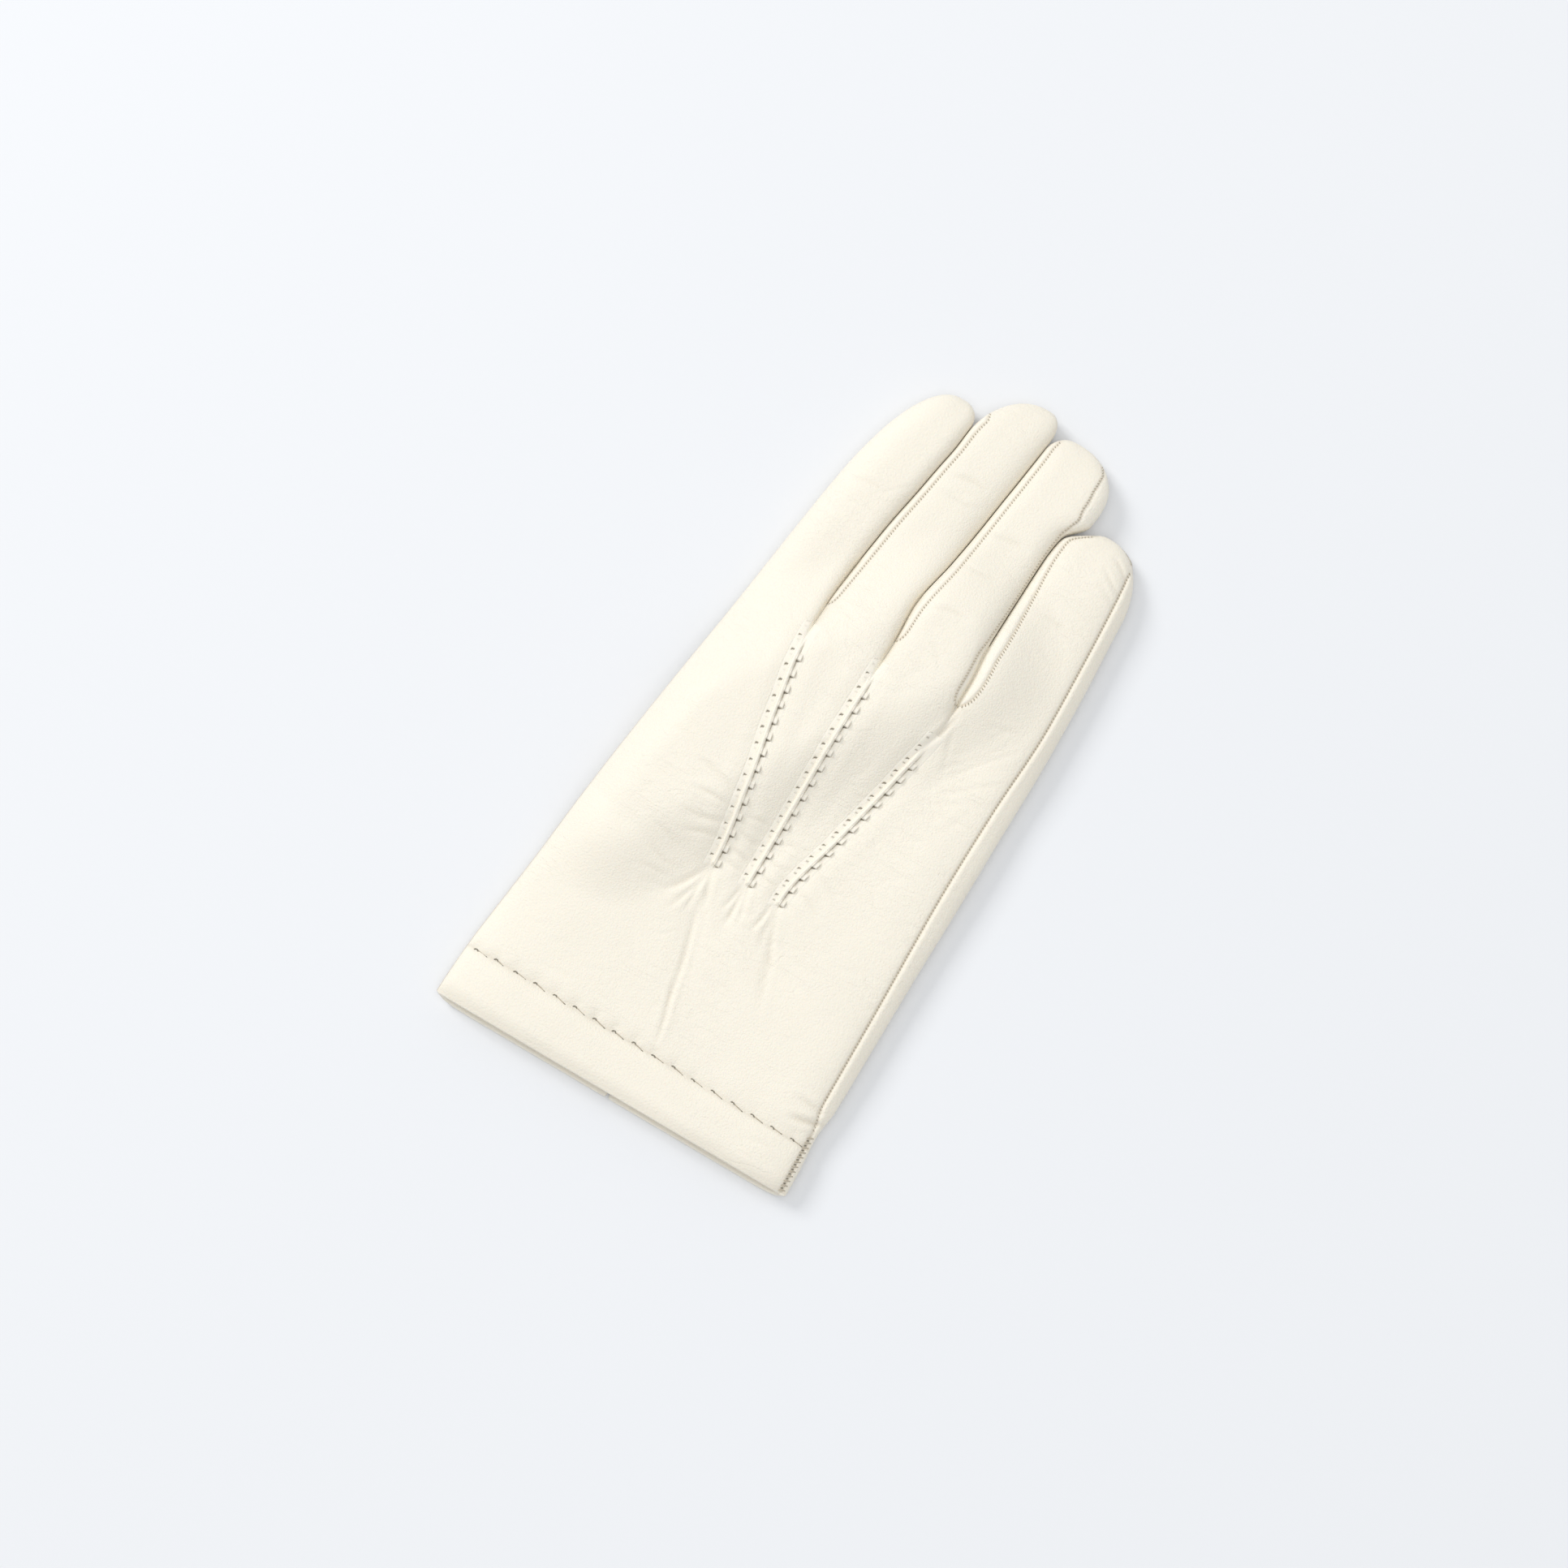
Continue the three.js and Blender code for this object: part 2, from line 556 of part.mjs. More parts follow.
// The thumb's closed form, inset by a wall: flat rings along its spine and a round tip.
function thumbForm(inset, around) {
  const rings = [];
  const ring = (centre, across, halfWidth, thick) => {
    const points = [];
    for (let k = 0; k < around; k += 1) {
      const angle = (2 * Math.PI * k) / around;
      const c = squared(Math.cos(angle));
      const s = squared(Math.sin(angle));
      const z = THUMB_OFF_FLOOR + thick / 2 + (thick / 2 - inset) * s;
      points.push([centre.x + across.x * halfWidth * c, centre.y + across.y * halfWidth * c, z]);
    }
    return points;
  };
  const place = (t, beyond, narrow) => {
    const centre = thumbSpine.getPoint(t);
    const ahead = thumbSpine.getTangent(t);
    const across = new THREE.Vector3(ahead.y, -ahead.x, 0);
    centre.addScaledVector(ahead, beyond);
    const halfWidth = (thumbHalfWidth(t) - inset) * narrow;
    const thick = thumbThick(t);
    rings.push(ring(centre, across, halfWidth, THREE.MathUtils.lerp(2 * inset + 0.1, thick, narrow)));
  };
  for (let j = 0; j <= THUMB_STEPS; j += 1) {
    const t = THREE.MathUtils.lerp(inset > 0 ? THUMB_POCKET_START : 0, 1, j / THUMB_STEPS);
    place(t, 0, 1);
  }
  for (const turn of THUMB_TIP_TURNS) {
    const angle = THREE.MathUtils.degToRad(turn);
    place(1, (THUMB_TIP - inset) * Math.sin(angle), Math.cos(angle));
  }
  return loft(rings);
}

// The neck that joins the thumb to the palm, an oval tube standing through the hole.
function neck(grow) {
  const { x, y, halfWidth, halfLength, lean, along, sides } = THUMB_HOLE;
  const ringAt = (z) =>
    Array.from({ length: sides }, (_, k) => {
      const angle = (2 * Math.PI * k) / sides;
      const across = (halfWidth + grow) * Math.cos(angle);
      const lengthwise = (halfLength + grow) * Math.sin(angle);
      return [
        x + across * Math.cos(lean) - lengthwise * Math.sin(lean),
        y + across * Math.sin(lean) + lengthwise * Math.cos(lean),
        z,
      ];
    });
  const floor = thumbThick(along) - WALL - NECK_WALL;
  const palm = lift(x, y) + WALL;
  return loft([ringAt(floor), ringAt(palm)]);
}

// A block over the palm side of the cuff, between two distances from the vent's middle line.
function ventBlock(from, to, length) {
  const ring = (y) => [
    [VENT.x + from, y, UNDER],
    [VENT.x + to, y, UNDER],
    [VENT.x + to, y, below(y)],
    [VENT.x + from, y, below(y)],
  ];
  return loft([ring(UNDER), ring(length)]);
}

const parts = new Map();

const noWall = () => 0;
const wallOf = (y) => (y < HEM_DEPTH ? HEM_WALL : WALL);
const outer = handForm(noWall, OUTER_STEPS);
const innerHand = handForm(wallOf, INNER_STEPS);
const shell = outer.subtract(innerHand);

const thumbOuter = thumbForm(0, AROUND_THUMB);
const thumbInner = thumbForm(WALL, AROUND_THUMB - 4);
const thumbShell = thumbOuter.add(neck(NECK_WALL)).subtract(thumbInner).subtract(neck(0));

let trank = shell;
GAPS.forEach((gap, i) => {
  parts.set(`fourchette_${gap.name}`, [largest(shell.intersect(fourchetteSpace(i, 0))), FOURCHETTE_LEATHER]);
  trank = trank.subtract(fourchetteSpace(i, PIECE_GAP));
});
trank = trank.subtract(neck(NECK_WALL + PIECE_GAP));

// The vent's bindings stand in a slot that is a little wider than both of them.
const slitEdge = VENT.slit / 2;
const bindingEdge = slitEdge + VENT.binding;
const slotEdge = bindingEdge + PIECE_GAP;
trank = trank.subtract(ventBlock(-slotEdge, slotEdge, VENT.length + PIECE_GAP));
const bindings = {
  vent_binding_thumb_side: ventBlock(-bindingEdge, -slitEdge, VENT.length),
  vent_binding_little_side: ventBlock(slitEdge, bindingEdge, VENT.length),
};
for (const [name, block] of Object.entries(bindings)) {
  parts.set(name, [largest(shell.intersect(block)), STITCHED_LEATHER]);
}

const sideSeam = column(SIDE_SEAM, "x");
const seamSteps = Array.from({ length: 19 }, (_, j) => j * GROOVE_STEP - 3);
trank = trank.subtract(backGroove(seamSteps.map((y) => [sideSeam(y), y])));

// The quirk is cut out of the palm, and the palm's hole for it is a little larger.
const quirkOutline = (grow) => {
  const middleX = QUIRK.reduce((sum, corner) => sum + corner.x, 0) / QUIRK.length;
  const middleY = QUIRK.reduce((sum, corner) => sum + corner.y, 0) / QUIRK.length;
  return QUIRK.map(({ x, y }) => {
    const share = 1 + grow / Math.hypot(x - middleX, y - middleY);
    return [middleX + (x - middleX) * share, middleY + (y - middleY) * share];
  });
};
const palmMiddle = below(QUIRK[0].y) + lift(QUIRK[0].x, QUIRK[0].y) - WALL / 2;
parts.set("quirk", [largest(shell.intersect(prism(quirkOutline(0), UNDER, palmMiddle))), FOURCHETTE_LEATHER]);
trank = trank.subtract(prism(quirkOutline(1.5 * PIECE_GAP), UNDER, palmMiddle));

// The trank is one leather folded at the index finger's side. Here it is three solids: the palm meets
// the back along the fold, the side seam and the fingertips, and the back is parted below the knuckles.
function parted(solid, sheet, axis) {
  const main = solid.subtract(sheet).decompose().sort((a, b) => b.volume() - a.volume()).slice(0, 2);
  return main.sort((a, b) => a.boundingBox().max[axis] - b.boundingBox().max[axis]);
}
const partingEnd = BACK_PARTING.y + PIECE_GAP;
const { y: partingStart, halfLength: reach } = BACK_PARTING;
const partingOutline = [[-reach, partingStart], [reach, partingStart], [reach, partingEnd], [-reach, partingEnd]];
const [trankPalm, trankBack] = parted(trank, levelSheet(), 2);
const [backOfHand, backOfFingers] = parted(trankBack, prism(partingOutline, UNDER, OVER), 1);
parts.set("trank_back_hand", [backOfHand, LEATHER]);
parts.set("trank_back_fingers", [backOfFingers, LEATHER]);
parts.set("trank_palm", [trankPalm, LEATHER]);
parts.set("thumb", [largest(thumbShell), LEATHER]);

// The points lie on the back: the layer between two lifted copies of it, inside their outlines.
const pointTops = handForm(noWall, OUTER_STEPS, SEATING + RIDGE_HEIGHT);
const pointLayer = pointTops.subtract(handForm(noWall, OUTER_STEPS, SEATING));
for (const point of POINTS) {
  const outline = prism(pointOutline(point), below(point.low) + WALL, OVER);
  parts.set(point.name, [largest(pointLayer.intersect(outline)), STITCHED_LEATHER]);
}

// A solid's triangles as a geometry, without corners that a flat face doesn't need.
function geometryOf(solid) {
  const mesh = solid.simplify(FLATNESS).getMesh();
  const geometry = new THREE.BufferGeometry();
  geometry.setAttribute("position", new THREE.BufferAttribute(mesh.vertProperties, 3));
  geometry.setIndex(new THREE.BufferAttribute(mesh.triVerts, 1));
  geometry.computeVertexNormals();
  return geometry;
}

const glove = new THREE.Group();
for (const [name, [solid, material]] of parts) {
  const mesh = new THREE.Mesh(geometryOf(solid), material);
  mesh.name = name;
  glove.add(mesh);
}

// The origin is under the middle of the glove's box, on the surface that it lies on.
const box = new THREE.Box3().setFromObject(glove);
const centre = box.getCenter(new THREE.Vector3());
for (const mesh of glove.children) mesh.position.set(-centre.x, -centre.y, -box.min.z);

export default glove;
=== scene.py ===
"""A right-hand dress glove of ivory leather, lying palm down with its thumb folded under the palm.

The tables are in millimetres of the same plan that the solids use: fingers to +Y, the index finger
on the -X side, z up from the surface. Each mesh is worked out on a grid and placed in metres.
"""

import math

import bpy
import numpy as np
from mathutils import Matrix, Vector


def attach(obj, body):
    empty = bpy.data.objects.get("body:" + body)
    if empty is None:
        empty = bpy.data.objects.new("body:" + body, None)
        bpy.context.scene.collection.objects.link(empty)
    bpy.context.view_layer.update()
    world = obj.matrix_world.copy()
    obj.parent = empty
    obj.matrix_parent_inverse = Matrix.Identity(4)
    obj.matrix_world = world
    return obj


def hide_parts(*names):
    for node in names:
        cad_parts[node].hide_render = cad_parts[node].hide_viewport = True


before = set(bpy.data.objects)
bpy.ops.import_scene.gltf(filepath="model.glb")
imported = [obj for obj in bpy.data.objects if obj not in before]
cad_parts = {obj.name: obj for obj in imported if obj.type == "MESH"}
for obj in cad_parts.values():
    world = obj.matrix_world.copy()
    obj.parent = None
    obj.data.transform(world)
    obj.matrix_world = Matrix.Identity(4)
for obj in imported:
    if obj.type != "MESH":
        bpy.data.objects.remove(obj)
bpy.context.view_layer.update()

PLAN_CENTRE = (0.749, 122.496)  # the plan point that lies over the frame's origin
SEED = 11


def rows_of(columns, *rows):
    """A table as a list of rows, each with its values under the names of the columns."""
    return [dict(zip(columns.split(), row)) for row in rows]


# Sizes of the solids
WALL = 1.5
HEM_WALL = 2.0
HEM_DEPTH = 17.0
MOUTH_STEP = 1.5
SLIT = 0.16  # the leather of neighbouring fingers presses closer together than their solids
SLIT_ROUND = 3.0
ROUNDNESS = 2.3
TIP_ROUNDNESS = 2.2
FOLD_ROUND_WIDTH = 24.0
SIDE_ROUND_WIDTH = 19.0
UNDER_ROUND_SHARE = 0.55
VALLEY_POWER = 0.8
LONGEST = 246.6
KNUCKLES = (130.0, 176.0)
SEAM_ROUND = 5.0
SEAM_RUNOUT = 4.0
SEAM_WIDTH = 1.2  # a seam's dip and tuck are whole where its strip is at least this wide
SEAM_DIP = 0.42
DIP_REACH = 0.40
TUCK_DEPTH = 0.55
FLOOR_GAP = 0.02  # the lowest leather's height above the surface that the glove lies on
MERGED_PER_MM = 2000.0  # points of a mesh that are closer than this part of a mm become one

# The outer edges: the fold beside the index finger and the edge beside the side seam
EDGES = {
    "y": [-4, 8, 20, 30, 50, 75, 100, 125, 150, 175, 200, 215, 250],
    "fold": [-61.4, -60.9, -60.0, -58.8, -56.3, -53.4, -50.0, -46.5, -43.0, -39.6, -35.8, -32.6, -27.0],
    "side": [60.4, 60.2, 59.5, 60.6, 60.9, 61.2, 61.8, 62.2, 62.7, 62.3, 61.2, 61.0, 61.0],
}
# The lines between the fingers, which run on down the points
GAP_LINES = {
    "y": [-4, 30, 60, 76, 100, 125, 148, 161, 171, 190, 205, 214, 222, 235, 250],
    "index_middle": [
        -20, -13.5, -9, -8.5, -11.3, -15.8, -18.8, -18.6, -17.8, -15.2, -12.4, -10.8, -9.3, -7.9, -6
    ],
    "middle_ring": [1, 2.2, 3, 3.4, 3.7, 3.9, 4.6, 4.9, 4.5, 7.6, 9.9, 11.2, 12.4, 14.2, 16],
    "ring_little": [22, 17.5, 14, 14.3, 20, 26, 30.6, 30.8, 30.1, 30.5, 31.1, 32.4, 38.4, 39.4, 39.4],
}
# Half heights above and below the middle level
HEIGHTS = {
    "y": [-4, 13, 17, 22, 60, 110, 160, 190, 250],
    "above": [4.7, 5.0, 4.5, 5.1, 5.7, 6.2, 6.5, 6.6, 6.2],
    "below": [4.6, 4.7, 4.7, 4.7, 4.9, 5.0, 4.9, 4.8, 4.5],
}
FINGERS = rows_of(
    "tip_x tip_y round_left round_right round_height",
    (-15.5, 236.5, 207, 229, 219),
    (9.5, LONGEST, 226, 238, 229),
    (22.0, 242.2, 235, 226, 225),
    (45.0, 221.6, 212, 199, 204),
)
# Where each gap's slit and its valleys start, how deep the back rounds down to it, and how wide that
# rounding is on the finger at its left and at its right, as a share of half the finger
GAPS = rows_of(
    "line slit back_valley palm_valley depth left right",
    ("index_middle", 177.5, 140, 168, 0.58, 0.5, 0.75),
    ("middle_ring", 177.5, 140, 168, 0.75, 0.9, 0.65),
    ("ring_little", 173.0, 137, 164, 0.75, 0.75, 0.65),
)
# How far each fourchette reaches round onto the finger on its left and on its right. On the back its
# left seam is rolled under the index and the middle finger.
BACK_SEAMS = [
    {"y": [160, 178, 233], "left": [0.3, 0.3, 0.3], "right": [1.6, 2.2, 2.0]},
    {"y": [160, 178, 205, 238], "left": [0.3, 0.3, 0.3, 0.3], "right": [1.6, 2.8, 2.3, 2.0]},
    {
        "y": [152.5, 160, 168, 176, 190, 205, 213, 216, 219, 225, 230, 234, 237],
        "left": [1.8, 1.8, 1.5, 0.7, 0.4, 0.4, 0.5, 1.1, 2.8, 4.8, 4.9, 3.8, 2.0],
        "right": [2.6, 3.7, 4.2, 4.3, 3.6, 2.4, 2.0, 1.8, 1.8, 1.8, 1.8, 1.8, 1.6],
    },
]
PALM_SEAMS = [
    {"y": [176, 205, 233], "left": [4.6, 5.2, 3.6], "right": [2.6, 2.8, 2.2]},
    {"y": [176, 238], "left": [2.2, 2.0], "right": [2.0, 1.8]},
    {"y": [171, 236], "left": [2.8, 3.4], "right": [2.0, 1.8]},
]
SEAMS = {False: BACK_SEAMS, True: PALM_SEAMS}  # by whether they are under the hand
THUMB = {
    "x": [-39.5, -37.0, -31.8, -23.5, -12.0, 2.5, 18.0],
    "y": [74, 84, 97, 112, 128.5, 147, 165],
    "half_width": [6.5, 11.3, 15.8, 18.2, 18.0, 16.8, 15.7],
    "thick": [4.6, 6.4, 7.6, 7.9, 7.9, 7.8, 7.6],
}
THUMB_TIP = 15.7
THUMB_SQUARENESS = 2.5
PALM_OVER_THUMB = 0.8
LIFT_FLAT = 0.6
LIFT_REACH = 22.0
FOLD_DROOP = 0.3
FOLD_DROOP_WIDTH = 13.0
QUIRK = [(-27.0, 143.0), (-17.0, 147.5), (-12.5, 157.0), (-24.0, 155.5)]
POINTS = rows_of(
    "name line low high",
    ("point_index", "index_middle", 74.5, 147.5),
    ("point_middle", "middle_ring", 74.5, 147.5),
    ("point_ring", "ring_little", 74.0, 137.0),
)
PAD_PITCH = 5.0
POINT_WIDTH = (-3.2, 3.0)  # its left and right edge, from its line
POINT_DEPTH = 0.65  # how far the back's leather is drawn down under a point
SECOND_TICK = {"point_index": 0.2, "point_middle": 0.3, "point_ring": 0.75}  # a puff's lower tick
SIDE_SEAM = {
    "y": [-2, 20, 30, 60, 100, 130, 160, 185, 205, 214],
    "x": [58.4, 57.8, 56.2, 56.0, 55.5, 56.2, 57.8, 57.2, 56.3, 55.6],
}
VENT_X = -1.0
VENT_LENGTH = 45.0
VENT_SLIT = 0.8
VENT_BINDING = 3.0
VENT_REACH = 1.6  # the palm's leather ends this far from the vent's middle, inside its bindings
KNIT_REACH = 2.4
KNIT_END = 125.0
THUMB_STITCH = 1.45
TURNED_IN = ((0.12, 0.30), (-0.30, 0.95))  # out and down from a seam, for the leather turned in there

# Broad soft folds of the back: a furrow between two plan points
FOLDS = rows_of(
    "x1 y1 x2 y2 depth width",
    (-8, 72, 3, 30, 0.6, 4.0),
    (15, 72, 26, 46, 0.45, 4.0),
    (-9, 72, -24, 56, 0.6, 3.6),
    (3, 73, 4, 54, 0.5, 3.2),
)
# Sharper creases: where each runs, its depth, its half width and how far it bows to its left
CREASES = rows_of(
    "x1 y1 x2 y2 depth width bow",
    # Gathers under the three points
    (-9.2, 74, -17.5, 61, 0.55, 0.9, 0.8),
    (-8.6, 73, -13.5, 57, 0.40, 0.8, 0.5),
    (-8.0, 73, -8.8, 60, 0.35, 0.8, -0.4),
    (-7.4, 74, -4.6, 64, 0.45, 0.9, -0.6),
    (2.4, 74, 0.8, 65, 0.35, 0.8, 0.2),
    (3.5, 73.5, 3.8, 62, 0.45, 0.8, 0.0),
    (4.6, 74, 6.8, 65, 0.35, 0.8, -0.3),
    (12.9, 73, 11.4, 64, 0.40, 0.8, 0.3),
    (14.3, 73, 16.4, 60, 0.40, 0.8, -0.4),
    (15.3, 73, 21.5, 57, 0.50, 0.9, -0.8),
    (20.5, 60, 25.5, 44, 0.30, 1.1, -0.6),
    # The long soft fold towards the cuff
    (-5.4, 59, 1.0, 32, 0.38, 0.8, 0.5),
    (-0.8, 38, 3.9, 20.5, 0.36, 0.8, 0.4),
    # Short wrinkles across, between the points and beside them
    (-6.3, 92, 1.0, 93.2, 0.30, 0.7, 0.3),
    (-5.6, 87, 1.4, 86.6, 0.36, 0.7, -0.3),
    (-6.0, 81.5, 1.2, 80.2, 0.39, 0.7, 0.4),
    (-6.2, 77.5, 0.8, 77.0, 0.30, 0.6, 0.2),
    (-27, 99.5, -13.6, 96.4, 0.33, 0.8, 0.8),
    (-25, 91.5, -12.5, 91.8, 0.39, 0.8, 0.7),
    (-24, 84.5, -11.2, 87.4, 0.36, 0.8, -0.6),
    (-21, 79.0, -10.6, 82.6, 0.33, 0.7, 0.6),
    (5.6, 90.5, 13.8, 91.8, 0.27, 0.7, 0.4),
    (5.4, 84.0, 13.2, 84.8, 0.30, 0.7, -0.3),
    (5.2, 79.0, 12.4, 78.2, 0.33, 0.7, 0.3),
    (19.0, 88.0, 29.0, 84.5, 0.27, 0.8, 0.5),
    (17.4, 81.0, 27.0, 76.5, 0.30, 0.8, 0.6),
    (-30, 77, -19, 73.5, 0.27, 0.7, 0.5),
    (-28, 71, -18, 68.0, 0.30, 0.7, -0.5),
    (-27, 64, -19, 64.5, 0.24, 0.7, 0.4),
    # Over the knuckles and at the fingertips
    (-33, 197, -20, 199, 0.24, 1.0, 0.8),
    (-5.5, 213.5, 6, 214.5, 0.36, 0.9, 0.8),
    (-6.5, 207.5, 7, 208.5, 0.26, 0.9, -0.6),
    (12.5, 203, 25, 204.5, 0.30, 0.9, 0.7),
    (11.5, 191, 23, 192.5, 0.26, 1.0, -0.6),
    (9.0, 174, 21, 176.5, 0.30, 1.1, 0.8),
    (38, 190, 50, 188.5, 0.26, 1.0, 0.7),
    (49.5, 216.5, 56.2, 211.5, 0.30, 0.7, 0.4),
    (48.5, 212.0, 56.6, 207.0, 0.28, 0.7, -0.4),
    (49.5, 206.5, 57.0, 203.0, 0.22, 0.7, 0.3),
    # The pinch at the side of the cuff
    (50.0, 21.8, 60.0, 24.6, 0.75, 0.9, -0.5),
    (48.5, 27.5, 58.5, 26.4, 0.40, 0.9, 0.5),
    (41.0, 9.0, 53.0, 11.0, 0.20, 0.9, 0.6),
    (43.0, 13.6, 54.0, 13.0, 0.20, 0.8, -0.5),
    # Fine wrinkles that fan out from the ring finger's point towards the side seam
    (38.0, 130.5, 54.0, 150, 0.20, 0.7, 0.9),
    (36.0, 134, 51.0, 151, 0.15, 0.6, -0.7),
    (40.0, 127, 55.5, 140, 0.15, 0.7, 0.6),
    (35.0, 122, 50.0, 130, 0.12, 0.7, -0.5),
    (37.5, 133, 33.4, 148, 0.20, 0.7, 0.6),
    (42.0, 152, 53.0, 155, 0.15, 0.7, 0.5),
    # Out of the upper ends of the points
    (28.4, 137, 32.6, 150, 0.55, 0.8, -0.3),
)


def smooth(start, end, value):
    """0 up to start, 1 from end on, and a smooth step between."""
    t = np.clip((value - start) / (end - start), 0.0, 1.0)
    return t * t * (3.0 - 2.0 * t)


def within(start, full, fade, end, value):
    """0 up to start, 1 from full to fade and 0 again from end on, with smooth steps between."""
    return smooth(start, full, value) * (1 - smooth(fade, end, value))


def bell(distance, width):
    """A bell curve: 1 at no distance and 1/e at the width."""
    return np.exp(-((distance / width) ** 2))


def column(table, key, along="y"):
    """A smooth curve through one column of a table: a cubic between rows, with limited slopes."""
    at = np.asarray(table[along], float)
    value = np.asarray(table[key], float)
    step = np.diff(value) / np.diff(at)
    slope = np.empty_like(value)
    slope[0], slope[-1] = step[0], step[-1]
    product = step[:-1] * step[1:]
    total = np.where(product > 0, step[:-1] + step[1:], 1.0)
    slope[1:-1] = np.where(product > 0, 2.0 * product / total, 0.0)

    def curve(y):
        inside = np.clip(y, at[0], at[-1])
        i = np.clip(np.searchsorted(at, inside, side="right") - 1, 0, len(at) - 2)
        length = at[i + 1] - at[i]
        t = (inside - at[i]) / length
        rise = value[i + 1] - value[i]
        a = slope[i] * length - rise
        b = rise - slope[i + 1] * length
        return value[i] + rise * t + t * (1.0 - t) * (a * (1.0 - t) + b * t)

    return curve


fold_edge = column(EDGES, "fold")
side_edge = column(EDGES, "side")
gap_lines = [column(GAP_LINES, gap["line"]) for gap in GAPS]
above = column(HEIGHTS, "above")
below = column(HEIGHTS, "below")
side_seam = column(SIDE_SEAM, "x")
THUMB["t"] = np.linspace(0.0, 1.0, len(THUMB["x"]))
thumb_half_width = column(THUMB, "half_width", "t")
thumb_thick = column(THUMB, "thick", "t")


def thumb_spine(t):
    """The thumb's spine in plan: a centripetal spline through the table's points."""
    points = np.column_stack([THUMB["x"], THUMB["y"]]).astype(float)
    ends = (2 * points[0] - points[1], 2 * points[-1] - points[-2])
    p = np.vstack([ends[0], points, ends[1]])
    share = np.clip(t, 0.0, 1.0) * (len(points) - 1)
    k = np.minimum(share.astype(int), len(points) - 2)
    w = (share - k)[:, None]
    p0, p1, p2, p3 = p[k], p[k + 1], p[k + 2], p[k + 3]
    pairs = ((p0, p1), (p1, p2), (p2, p3))
    d0, d1, d2 = (np.sqrt(np.linalg.norm(b - a, axis=1))[:, None] for a, b in pairs)
    t1 = d1 * ((p1 - p0) / d0 - (p2 - p0) / (d0 + d1) + (p2 - p1) / d1)
    t2 = d1 * ((p2 - p1) / d1 - (p3 - p1) / (d1 + d2) + (p3 - p2) / d2)
    return p1 + t1 * w + (3 * (p2 - p1) - 2 * t1 - t2) * w**2 + (2 * (p1 - p2) + t1 + t2) * w**3


SPINE = thumb_spine(np.linspace(0.0, 1.0, 61))


def lift(x, y):
    """How far the folded thumb lifts the hand: its thickness, fading with the distance from its spine."""
    x, y = np.broadcast_arrays(np.asarray(x, float), np.asarray(y, float))
    squared = (x.ravel()[:, None] - SPINE[:, 0]) ** 2 + (y.ravel()[:, None] - SPINE[:, 1]) ** 2
    k = np.clip(squared.argmin(axis=1), 1, len(SPINE) - 2)
    row = np.arange(len(k))
    a, b, c = squared[row, k - 1], squared[row, k], squared[row, k + 1]
    bend = np.maximum(a - 2 * b + c, 1e-9)
    move = np.clip(0.5 * (a - c) / bend, -1.0, 1.0)
    near = np.sqrt(np.maximum(b + 0.5 * (c - a) * move + 0.5 * bend * move**2, 0.0)).reshape(x.shape)
    t = ((k + move) / (len(SPINE) - 1)).reshape(x.shape)
    half = thumb_half_width(t)
    down = smooth(LIFT_FLAT * half, half + LIFT_REACH, near)
    droop = FOLD_DROOP * (1 - smooth(0.0, FOLD_DROOP_WIDTH, x - fold_edge(y)))
    return (thumb_thick(t) + PALM_OVER_THUMB) * (1 - down) * (1 - droop)


def rounded(distance, width):
    """Rise of a rounded side: 0 at the edge and 1 from the width on, as a superellipse."""
    t = np.clip(distance / np.maximum(width, 1e-6), 0.0, 1.0)
    return (1 - (1 - t) ** ROUNDNESS) ** (1 / ROUNDNESS)


def closing(y, start, tip):
    """1 where a finger starts to round off, falling to 0 at its tip as a superellipse."""
    t = np.clip((y - start) / (tip - start), 0.0, 1.0)
    return (1 - t**TIP_ROUNDNESS) ** (1 / TIP_ROUNDNESS)


def sides(i, y, inset=0.0):
    """Left and right side of finger i at y. Below the knuckles neighbours share one line."""
    finger = FINGERS[i]

    def opened(gap):
        start = GAPS[gap]["slit"] - inset
        share = np.clip((y - start) / SLIT_ROUND, 0.0, 1.0)
        return (SLIT / 2 + inset) * np.sqrt(1 - (1 - share) ** 2)

    left = fold_edge(y) + inset if i == 0 else gap_lines[i - 1](y) + opened(i - 1)
    right = side_edge(y) - inset if i == 3 else gap_lines[i](y) - opened(i)
    tip_x, tip_y = finger["tip_x"], finger["tip_y"] - inset
    return (
        tip_x + (left - tip_x) * closing(y, finger["round_left"], tip_y),
        tip_x + (right - tip_x) * closing(y, finger["round_right"], tip_y),
    )


def fullness(i, y, from_left, from_right, inset, under):
    """How full finger i is at a distance from each of its sides: 0 at an edge, 1 in its middle."""
    half = (from_left + from_right) / 2
    share = UNDER_ROUND_SHARE if under else 1.0

    def outer(distance, width):
        reach = (width + (half - width) * smooth(*KNUCKLES, y)) * share
        return rounded(distance, reach)

    def valley(gap, distance, side):
        row = GAPS[gap]
        start = row["palm_valley" if under else "back_valley"]
        down = smooth(start, row["slit"] - inset, y) ** (1.0 if under else VALLEY_POWER)
        deepest = 1.0 if under else row["depth"]
        reach = half * (share if under else row[side])
        return 1 - down * deepest * (1 - rounded(distance, reach))

    left = outer(from_left, FOLD_ROUND_WIDTH) if i == 0 else valley(i - 1, from_left, "right")
    right = outer(from_right, SIDE_ROUND_WIDTH) if i == 3 else valley(i, from_right, "left")
    return left * right * closing(y, FINGERS[i]["round_height"], FINGERS[i]["tip_y"] - inset)


